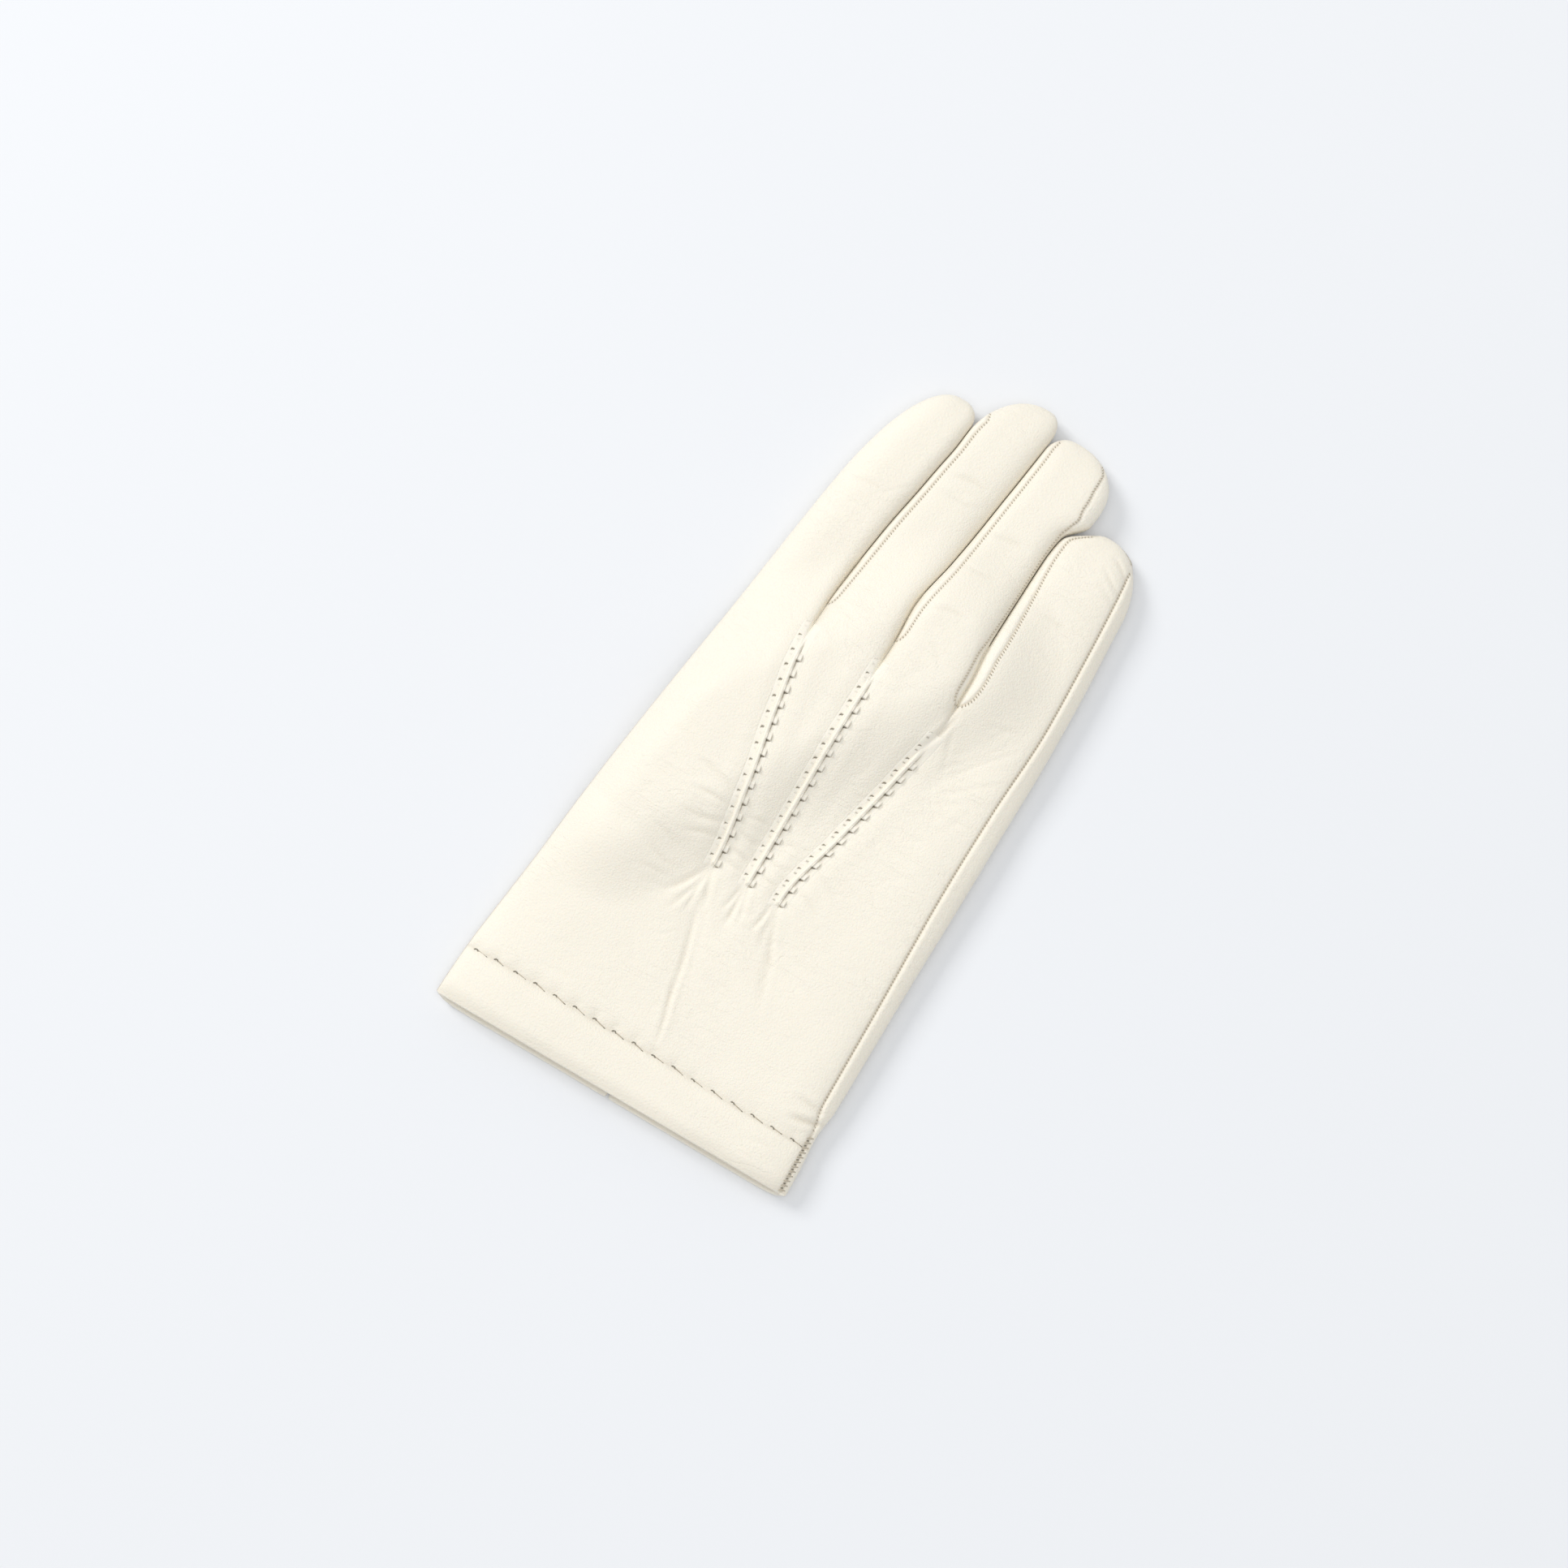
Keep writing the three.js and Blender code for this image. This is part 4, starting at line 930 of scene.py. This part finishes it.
def hem(surface, i, shares, rim, under):
    """The mouth's edge: a half round from the outer skin to the inner one, then the turned-in hem."""
    y = np.array([0.8, 4.0, 9.0, 14.0, HEM_DEPTH])[:, None]
    left, right = sides(i, y, HEM_WALL)
    x = left + (right - left) * shares
    z = skin(i, x, y, HEM_WALL, under, with_relief=False)
    full = fullness(i, y, x - left, right - x, HEM_WALL, under)
    if under:
        y = y - mouth_step(y, full)
    else:
        z = z - 1.8 * (1 - smooth(*RIM, y)) ** 1.5 * smooth(0.0, EDGE_FULLNESS, full)
    inside = stack(x, y, z)
    turn = np.linspace(0.0, math.pi, 7)[:, None, None]
    round_edge = (rim + inside[0]) / 2 + (rim - inside[0]) / 2 * np.cos(turn)
    round_edge[..., 1] -= 0.8 * np.sin(turn[..., 0])
    whole = np.concatenate([round_edge, inside[1:]], axis=0)
    surface.grid(whole, not under, keep=beside_vent(whole, VENT_REACH) if under else None)


def painted_shade_of_back(x, y):
    """Painted shade of the back: in the hem's and side seam's furrows, at the mouth's edge, in the gap
    valleys and in the creases.
    """
    hem_painted_shade = 0.30 * bell(y - hem_line(x), 0.5) + 0.12 * bell(y, 2.0)
    seam_painted_shade = 0.34 * bell(x - side_seam(y), 0.45) * (1 - smooth(212, 217, y))
    from_gap = np.minimum.reduce([np.abs(x - line(y)) for line in gap_lines])
    gap_painted_shade = 0.13 * bell(from_gap, 2.4) * smooth(125, 165, y)
    crease_painted_shade = 0.6 * np.clip(-creases(x, y, CREASES) - 0.08, 0, 0.5)
    return np.clip(hem_painted_shade + seam_painted_shade + gap_painted_shade + crease_painted_shade, 0.0, 0.7)


def knit_inside():
    """The knit inside the mouth: the hand's inner skin, closed in the dark of the palm."""
    surface = Surface()
    inset = WALL + 0.35
    y = np.linspace(13.0, KNIT_END, 40)[:, None]
    for under in (False, True):
        for i in range(4):
            left, right = sides(i, y, inset)
            x = left + (right - left) * np.linspace(0.0, 1.0, 9)
            z = skin(i, x, y, inset, under, with_relief=False)
            middle = below(y) + lift(x, y)
            points = stack(x, y, middle + (z - middle) * np.sqrt(np.clip((KNIT_END - y) / 12.0, 0.0, 1.0)))
            surface.grid(points, not under, keep=beside_vent(points, KNIT_REACH) if under else None)
    return surface.build("knit_inside", KNIT)


def fourchette(gap):
    """The strip between two fingers: down one finger's side and up the next, on the back and palm.

    Each side runs from its seam, tucked under the trank there, to the finger's edge. Below the slit the
    two sides meet in the valley's bottom, and so close the crotch. From the slit on, the back's last
    column goes straight down from the edge to the middle level, where the palm's side starts. The rows
    are the trank's own, so that the two close round the fingertip.
    """
    surface = Surface()
    t = np.append(spread(9, 0.5), 1.0)
    for under in (False, True):
        low = SEAMS[under][gap]["y"][0]
        sign = -1.0 if under else 1.0
        for i, on_left in ((gap, True), (gap + 1, False)):
            y = finger_rows(i, ROW_STEP, FINGER_ROWS)
            crotch = low + 3.0 * np.linspace(0.0, 1.0, 16) ** 2
            y = np.concatenate([crotch, y[y > low + 3.1]])[:, None]
            side = sides(i, y)[1 if on_left else 0]
            edge = seam(i, y, not on_left, under)
            width = np.abs(side - edge)
            start = edge - np.sign(side - edge) * 0.5 * smooth(0, SEAM_WIDTH, width)
            x = start + (side - start) * t
            z = skin(i, x, y, 0.0, under)
            tucked = 1 - smooth(-0.1, 0.9, width - np.abs(x - side))
            ripple = 0.07 * np.sin(2 * math.pi * y / 7.3 + gap) * np.sin(math.pi * t)
            tuck = TUCK_DEPTH * tucked * smooth(0, SEAM_WIDTH, width)
            z = z - sign * (tuck + ripple * smooth(0, 2.0, width))
            if under:
                z = np.maximum(z, FLOOR_GAP)
            else:
                drop = z[:, -1] - (below(y) + lift(side, y))[:, 0]
                z[:, -1] -= drop * smooth(GAPS[gap]["slit"] - 2.0, GAPS[gap]["slit"], y[:, 0])
            # The tucked side carries painted shade where it goes under the trank
            surface.grid(stack(x, y, z), under == on_left, 0.3 * tucked)
    return surface.build(f"fourchette_{GAPS[gap]['line']}_strip", STRIP_LEATHER)


def point(row):
    """One point: a smooth raised tuck, cut-looking pads down its right and soft puffs down its left.

    v is the distance from the point's line and s the distance down from its top, both in mm. Pads repeat
    every PAD_PITCH along s. Each right pad rises along s and ends in a crisp foot, and each left puff
    starts under a short hooked tick. Heights are added to the back's own height.
    """
    count = 380
    y = np.linspace(row["high"] + 6.0, row["low"] - 2.0, count)[:, None]
    v = np.linspace(*POINT_WIDTH, 57)
    x = column(GAP_LINES, row["line"])(y) + v
    s = row["high"] - y
    left_over = y - row["low"]
    upper = smooth(-0.5, 7.0, s)
    below_top = smooth(3.0, 4.0, s)
    share = (s / PAD_PITCH + 0.02 * np.sin(0.9 * s)) % 1.0
    askew = 0.12 * np.sin(12.9898 * np.floor(s / PAD_PITCH)) * (v < 0)

    def across(start, end, soft):
        return within(start - soft, start + soft, end - soft, end + soft, v)

    ridge = 1.08 * upper * np.sqrt(np.clip(1 - ((v - 0.02) / 0.70) ** 2, 0, 1))
    rise = within(0.00, 0.32, 0.53, 0.56, share)
    right = 0.78 * rise * across(0.55, 2.08, 0.10) * below_top
    left = 0.14 * np.sin(math.pi * share) ** 2 * across(-2.10, -0.75, 0.60) * smooth(-2.0, 3.0, s)
    hook = share - 0.03 - askew * 0.2 + 0.060 * (v + 1.7) - 0.10 * np.clip(-v - 1.75, 0, 1)
    tick = bell(hook * PAD_PITCH, 0.34) * across(-2.15, -1.15, 0.16)
    from_second = np.abs((share + 0.08) % 1.0 - 0.5) * PAD_PITCH
    second = SECOND_TICK[row["name"]] * bell(from_second, 0.26) * across(-1.95, -1.10, 0.15)
    foot = across(0.70, 0.72 + 1.35 * (1 - smooth(0.56, 0.72, share)), 0.12)
    wedge = within(0.54, 0.57, 0.60, 0.74, share) * foot * below_top
    lead = bell(v - 0.84, 0.15) * upper
    outer = bell(v - 2.24, 0.15) * within(0.14, 0.30, 0.54, 0.58, share) * below_top
    dents = 0.45 * tick + 0.25 * second + 0.42 * wedge + 0.30 * lead * (1 - rise) + 0.12 * outer
    sunk = np.clip((np.abs(v) - 2.5) / 0.5, 0, 1) + (1 - smooth(-5.5, -4.0, s))
    sunk = 0.10 * (sunk + (1 - smooth(-1.6, -0.8, left_over)))
    body = (ridge + right) * smooth(0.0, 1.2, s) * smooth(-0.6, 1.0, left_over)
    body = body + left * smooth(-1.0, 0.5, left_over) - dents * smooth(-5.0, -4.0, s)
    z = height_over(x, y) + body - sunk + 0.04
    # Painted shade in the ticks, wedges, lead line and outer marks, where the dents fall in shadow
    tone_and_painted_shade = 1.1 * tick + 0.9 * second + 1.1 * wedge + lead * (0.30 + 0.35 * (share > 0.55)) + 0.45 * outer
    ends = smooth(-5.5, -4.5, s) * smooth(-1.0, 0.5, left_over)
    return sheet(f"{row['name']}_tuck", POINT_LEATHER, stack(x, y, z), True, np.clip(tone_and_painted_shade, 0, 1) * ends)


def superellipse(angles, cos_power, sin_power):
    """The two coordinates of a superellipse of half width 1 at angles round it."""
    c, s = np.cos(angles), np.sin(angles)
    return np.sign(c) * np.abs(c) ** cos_power, np.sign(s) * np.abs(s) ** sin_power


def thumb():
    """The thumb: flat superellipse rings along its spine, closed by a round tip and a round base."""
    t = np.concatenate([np.zeros(7), np.linspace(0.0, 1.0, 110)[1:], np.ones(14)])
    beyond, narrow = np.zeros(len(t)), np.ones(len(t))
    base_turn = np.radians(np.linspace(90.0, 0.0, 7))
    tip_turn = np.radians(np.linspace(0.0, 90.0, 15))[1:]
    beyond[:7], narrow[:7] = -thumb_half_width(0.0) * np.sin(base_turn), np.cos(base_turn)
    beyond[-14:], narrow[-14:] = THUMB_TIP * np.sin(tip_turn), np.cos(tip_turn)
    ahead = thumb_spine(np.minimum(t + 0.004, 1.0)) - thumb_spine(np.minimum(t, 0.996))
    ahead /= np.linalg.norm(ahead, axis=1)[:, None]
    centre = thumb_spine(t) + ahead * beyond[:, None]
    c, s = superellipse(np.linspace(0.0, 2 * math.pi, 73), 2 / THUMB_SQUARENESS, 2 / THUMB_SQUARENESS)
    out = (thumb_half_width(t) * narrow)[:, None] * c
    x, y = centre[:, :1] + ahead[:, 1:] * out, centre[:, 1:] - ahead[:, :1] * out
    full, narrow = thumb_thick(t)[:, None], narrow[:, None]
    thick = 0.1 + (full - 0.1) * np.sqrt(narrow)
    furrow = 0.25 * undulation(x * 1.3, y * 1.3) - 0.25 * bell(np.abs(c) - 0.93, 0.03)
    z = FLOOR_GAP + full / 2 + (thick / 2) * s + furrow * narrow * (s > 0)
    return sheet("thumb_leather", LEATHER, stack(x, y, np.maximum(z, FLOOR_GAP)))


def quirk():
    """The diamond let into the palm: a patch over the palm's skin, tucked in at its edges."""
    u = np.linspace(0.0, 1.0, 15)[:, None]
    w = u.T
    a, b, c, d = np.array(QUIRK)
    near, far = a + u * (b - a), d + u * (c - d)
    x, y = ((1 - u) * near[:, k] + u * far[:, k] for k in (0, 1))
    edge = np.minimum(np.minimum(u, 1 - u), np.minimum(w, 1 - w)) * 12.0
    tuck = np.exp(-edge / 0.6)
    z = np.maximum(height_over(x, y, True) - 0.18 + 0.35 * tuck, FLOOR_GAP)
    # Painted shade where the patch is tucked in at its edges
    return sheet("quirk_leather", STRIP_LEATHER, stack(x, y, z), True, 0.4 * tuck)


def vent_binding(name, side):
    """A binding wrapped round the vent's edge: a flat rounded section along the cuff, with round ends."""
    y = np.concatenate([[-1.5], np.linspace(-1.4, VENT_LENGTH - 0.1, 60), [VENT_LENGTH]])[:, None]
    scale = np.ones_like(y)
    scale[[0, -1]], scale[[1, -2]] = 0.0, 0.8
    c, s = superellipse(np.linspace(0.0, 2 * math.pi, 33), 0.6, 0.7)
    x = VENT_X + side * (VENT_SLIT + VENT_BINDING) / 2 + scale * VENT_BINDING / 2 * c
    z = 1.02 + scale * (0.98 * s + 0.08 * np.sin(math.pi * y) * (s < 0))
    return sheet(f"{name}_leather", POINT_LEATHER, stack(x, y, np.maximum(z, FLOOR_GAP)))


class Stitches:
    """Collects short stitches and turns them into one mesh of slim rounded rods."""

    TURNS = np.array([0.0, 0.16, 0.5, 0.84, 1.0])
    SIDES = 6

    def __init__(self):
        self.rods = []

    def add(self, starts, ends, radius, bow):
        """Rods from each start to each end, in mm, bowed upwards."""
        self.rods.append((starts, ends, radius, bow))

    def through(self, centres, way, radius, bow):
        """Rods through each centre that reach out along a plan way to both sides."""
        reach = np.column_stack([way, np.zeros(len(way))])
        self.add(centres - reach, centres + reach, radius, bow)

    def build(self, name, material):
        """Each rod is a grid of rings about its axis, closed to a point at both ends."""
        surface = Surface()
        angles = np.linspace(0.0, 2 * math.pi, self.SIDES + 1)[:, None]
        t = self.TURNS[:, None]
        for starts, ends, radius, bow in self.rods:
            axis = ends - starts
            axis = axis / np.linalg.norm(axis, axis=1)[:, None]
            across = np.cross(axis, (0.0, 0.0, 1.0))
            across /= np.linalg.norm(across, axis=1)[:, None]
            over = np.cross(across, axis)[:, None]
            centre = starts[:, None] + (ends - starts)[:, None] * t + over * bow * (1 - (2 * t - 1) ** 2)
            ring = np.cos(angles) * across[:, None] + np.sin(angles) * over
            thick = radius * np.sqrt(np.clip(1 - (2 * t - 1) ** 4, 0, 1))
            surface.grid(centre[:, None] + thick * ring[:, :, None])
        return surface.build(name, material)


def along_path(x, y, pitch):
    """Points at an even pitch along a plan path, with the path's direction at each."""
    step = np.hypot(np.diff(x), np.diff(y))
    far = np.concatenate([[0.0], np.cumsum(step)])
    at = np.arange(pitch / 2, far[-1], pitch)
    px, py = np.interp(at, far, x), np.interp(at, far, y)
    qx, qy = np.interp(at + 0.05, far, x), np.interp(at + 0.05, far, y)
    rx, ry = np.interp(at - 0.05, far, x), np.interp(at - 0.05, far, y)
    direction = np.column_stack([qx - rx, qy - ry])
    return px, py, direction / np.linalg.norm(direction, axis=1)[:, None]


def turned_by(direction, degrees):
    """Plan directions turned anticlockwise."""
    a = math.radians(degrees)
    x, y = direction[:, 0], direction[:, 1]
    return np.column_stack([x * math.cos(a) - y * math.sin(a), x * math.sin(a) + y * math.cos(a)])


def on_back(x, y, rise):
    """Plan points as points on the back, raised a little."""
    return np.column_stack([x, y, height_over(x, y) + rise])


def seam_stitches(rods, i, on_left, under, pitch):
    """Short stitches that slant across one fourchette seam of finger i, a little on the finger's side."""
    rows = SEAMS[under][i - 1 if on_left else i]
    tip = min(FINGERS[i]["tip_y"] - 2.5, rows["y"][-1] + 3.0)
    y = rows["y"][0] + (tip - rows["y"][0]) * np.linspace(0.0, 1.0, 900) ** 2
    px, py, direction = along_path(seam(i, y, on_left, under), y, pitch)
    out = turned_by(direction, -90 if on_left else 90)
    px, py = px + 0.30 * out[:, 0], py + 0.30 * out[:, 1]
    z = height_over(px, py, under)
    z = np.maximum(z + 0.05, THREAD_RADIUS + 0.05) if under else z - 0.02
    way = turned_by(direction, SEAM_SLANT if on_left else -SEAM_SLANT) * 0.42
    rods.through(np.column_stack([px, py, z]), way, THREAD_RADIUS, -0.02 if under else 0.10)


def back_stitches():
    """Stitches of the back: fourchette seams, the side seam, the hem's running stitch and whip stitches."""
    rods = Stitches()
    for i, on_left in ((1, True), (2, True), (3, True), (2, False)):
        seam_stitches(rods, i, on_left, False, SEAM_PITCH)
    y = np.linspace(21.0, 215.0, 800)
    px, py, direction = along_path(side_seam(y), y, SIDE_PITCH)
    rods.through(on_back(px - 0.1, py, 0.08), turned_by(direction, SIDE_SLANT) * 0.50, THREAD_RADIUS, 0.10)
    y = np.arange(1.2, 19.5, WHIP_PITCH)
    x = side_seam(y)
    rods.add(on_back(x - 0.9, y - 0.35, 0.02), on_back(x + 1.2, y + 0.55, 0.02), 0.22, 0.45)
    start_x, end_x, start_y, end_y = hem_dashes()
    rods.add(on_back(start_x, start_y, 0.04), on_back(end_x, end_y, 0.04), THREAD_RADIUS, 0.06)
    return rods.build("back_stitches", THREAD_WITH_PAINTED_SHADE)


def hem_dashes():
    """Ends of the hem's stitches, which are set a little askew to its line."""
    rng = np.random.default_rng(SEED + 2)
    start_x = np.arange(HEM_FIRST, 54.5, HEM_PITCH)
    end_x = start_x + (3.5 + rng.normal(0.0, 0.25, len(start_x)))
    start_y = hem_line(start_x) + 0.35 + rng.normal(0.0, 0.12, len(start_x))
    end_y = hem_line(end_x) - 0.25 + rng.normal(0.0, 0.12, len(start_x))
    return start_x, end_x, start_y, end_y


def painted_needle_hole_shadows():
    """Short dark rods that paint the shadow in the dents where the needle pulled the leather in: at the
    hem's stitches and whip stitches.
    """
    rods = Stitches()
    start_x, end_x, start_y, end_y = hem_dashes()
    hooked = 1 - 0.75 * smooth(-10.0, 15.0, start_x)
    top = on_back(start_x + 0.05, start_y + 0.18, 0.02)
    rods.add(on_back(start_x - 0.75, start_y - 0.45 * hooked, 0.02), top, 0.22, 0.04)
    rods.add(top, on_back(start_x + 0.95, start_y - 0.40, 0.02), 0.25, 0.04)
    first = on_back(end_x - 0.5, end_y, 0.02) + (0.0, 0.05, 0.0)
    rods.add(first, on_back(end_x + 0.35, end_y, 0.02) - (0.0, 0.1, 0.0), 0.16, 0.02)
    y = np.arange(1.2 + WHIP_PITCH / 2, 18.5, WHIP_PITCH)
    x = side_seam(y) - 0.55
    rods.add(on_back(x, y - 0.22, 0.05), on_back(x + 0.75, y + 0.12, 0.05), 0.20, 0.02)
    return rods.build("painted_needle_hole_shadows", SHADED_THREAD)


def palm_stitches():
    """Stitches of the palm: fourchette seams, the thumb's, the quirk's, the hem's and the vent's."""
    rods = Stitches()
    for i, on_left in ((0, False), (1, True), (1, False), (2, True), (2, False), (3, True)):
        seam_stitches(rods, i, on_left, True, PALM_PITCH)
    t = np.linspace(0.03, 1.0, 90)
    centre = thumb_spine(t)
    ahead = np.gradient(centre, axis=0)
    ahead /= np.linalg.norm(ahead, axis=1)[:, None]
    share_across = 0.86
    share_down = (1 - share_across**THUMB_SQUARENESS) ** (1 / THUMB_SQUARENESS)
    for side in (-1, 1):
        away = side * share_across * thumb_half_width(t)
        x, y = centre[:, 0] + ahead[:, 1] * away, centre[:, 1] - ahead[:, 0] * away
        px, py, direction = along_path(x, y, THUMB_STITCH)
        z = np.interp(np.linspace(0, 1, len(px)), t, thumb_thick(t) / 2) * (1 - share_down) - 0.02
        way = turned_by(direction, THUMB_SLANT) * 0.40
        rods.through(np.column_stack([px, py, z]), way, THREAD_RADIUS, -0.03)
    quirk_x, quirk_y = zip(*QUIRK, QUIRK[0])
    for x, y, pitch, share, radius in (
        (quirk_x, quirk_y, THUMB_STITCH, 0.6, 0.16),
        ((-57.0, -5.5), (HEM_DEPTH, HEM_DEPTH), HEM_UNDER_PITCH, 0.55, 0.18),
        ((3.5, 56.0), (HEM_DEPTH, HEM_DEPTH), HEM_UNDER_PITCH, 0.55, 0.18),
        ((-6.2, -6.2), (1.0, 48.0), HEM_UNDER_PITCH, 0.55, 0.16),
        ((4.2, 4.2), (1.0, 48.0), HEM_UNDER_PITCH, 0.55, 0.16),
    ):
        px, py, direction = along_path(x, y, pitch)
        z = np.maximum(height_over(px, py, True) - 0.02, radius + 0.06)
        rods.through(np.column_stack([px, py, z]), direction * pitch * share / 2, radius, -0.02)
    y = np.arange(0.5, VENT_LENGTH, 2.0)
    for side in (-1, 1):
        x = np.full(len(y), VENT_X + side * 3.5)
        starts = np.column_stack([x, y - 0.5, np.full(len(y), 0.35)])
        ends = np.column_stack([x - side * 1.5, y + 0.5, np.full(len(y), 0.20)])
        rods.add(starts, ends, 0.14, -0.02)
    return rods.build("palm_stitches", THREAD_WITH_PAINTED_SHADE)


def floor():
    """A pale seamless surface under the glove."""
    values = {"Roughness": 0.65, "Specular IOR Level": 0.2}
    material, tree, shader, where = new_material("pale surface", values)
    value = scaled(tree, noise(tree, where, 3.0, 2.0)["Fac"], 0.02, 0.99)
    shade = {"Color": (0.835, 0.845, 0.865, 1.0), "Value": value}
    link(tree, shader, {"Base Color": add(tree, "ShaderNodeHueSaturation", {}, shade).outputs["Color"]})
    mesh = bpy.data.meshes.new("surface")
    far = 4.0
    mesh.from_pydata([(-far, -far, 0), (far, -far, 0), (far, far, 0), (-far, far, 0)], [], [(0, 1, 2, 3)])
    mesh.materials.append(material)
    new_object("surface", mesh)


def area_light(name, place, size, power):
    """A square soft light that faces the glove."""
    light = bpy.data.lights.new(name, "AREA")
    light.shape = "SQUARE"
    light.size = size
    light.energy = power
    lamp = new_object(name, light)
    lamp.location = place
    lamp.rotation_euler = (-Vector(place)).to_track_quat("-Z", "Y").to_euler()


def lighting():
    """Soft studio light: a key from the index finger's side, a broad top light and a pale surround."""
    area_light("key", (-2.3, 0.7, 1.9), 1.1, 38.0)
    area_light("top", (0.2, -0.1, 3.2), 2.8, 35.5)
    world = bpy.data.worlds.new("surround")
    world.use_nodes = True
    background = world.node_tree.nodes["Background"].inputs
    background["Color"].default_value = (0.96, 0.98, 1.0, 1.0)
    background["Strength"].default_value = 0.56
    bpy.context.scene.world = world


def camera():
    """The photo's view: nearly from above, a little from the cuff and the little finger's side."""
    azimuth, elevation, distance = math.radians(30.35), math.radians(84.0), 1.113
    aim = Vector((-0.0031, -0.0160, 0.010))
    level = math.cos(elevation)
    back = Vector((math.sin(azimuth) * level, -math.cos(azimuth) * level, math.sin(elevation)))
    lens = bpy.data.cameras.new("camera")
    lens.lens = 85.0
    lens.sensor_width = 36.0
    lens.clip_start = 0.05
    viewer = new_object("camera", lens)
    viewer.location = aim + back * distance
    viewer.rotation_euler = back.to_track_quat("Z", "Y").to_euler()
    bpy.context.scene.camera = viewer
    bpy.context.scene.view_settings.view_transform = "Standard"


hold(trank(), "ivory_leather", "trank_back_hand", "trank_back_fingers", "trank_palm")
hold(knit_inside(), "cashmere_knit")
for gap_number in range(3):
    hold(fourchette(gap_number), "ivory_leather", f"fourchette_{GAPS[gap_number]['line']}")
for point_row in POINTS:
    hold(point(point_row), "stitched_points", point_row["name"])
hold(thumb(), "ivory_leather", "thumb")
hold(quirk(), "ivory_leather", "quirk")
hold(vent_binding("vent_binding_thumb_side", -1), "ivory_leather", "vent_binding_thumb_side")
hold(vent_binding("vent_binding_little_side", 1), "ivory_leather", "vent_binding_little_side")
hold(back_stitches(), "beige_thread")
hold(palm_stitches(), "beige_thread")
hold(painted_needle_hole_shadows(), "beige_thread")
floor()
lighting()
camera()
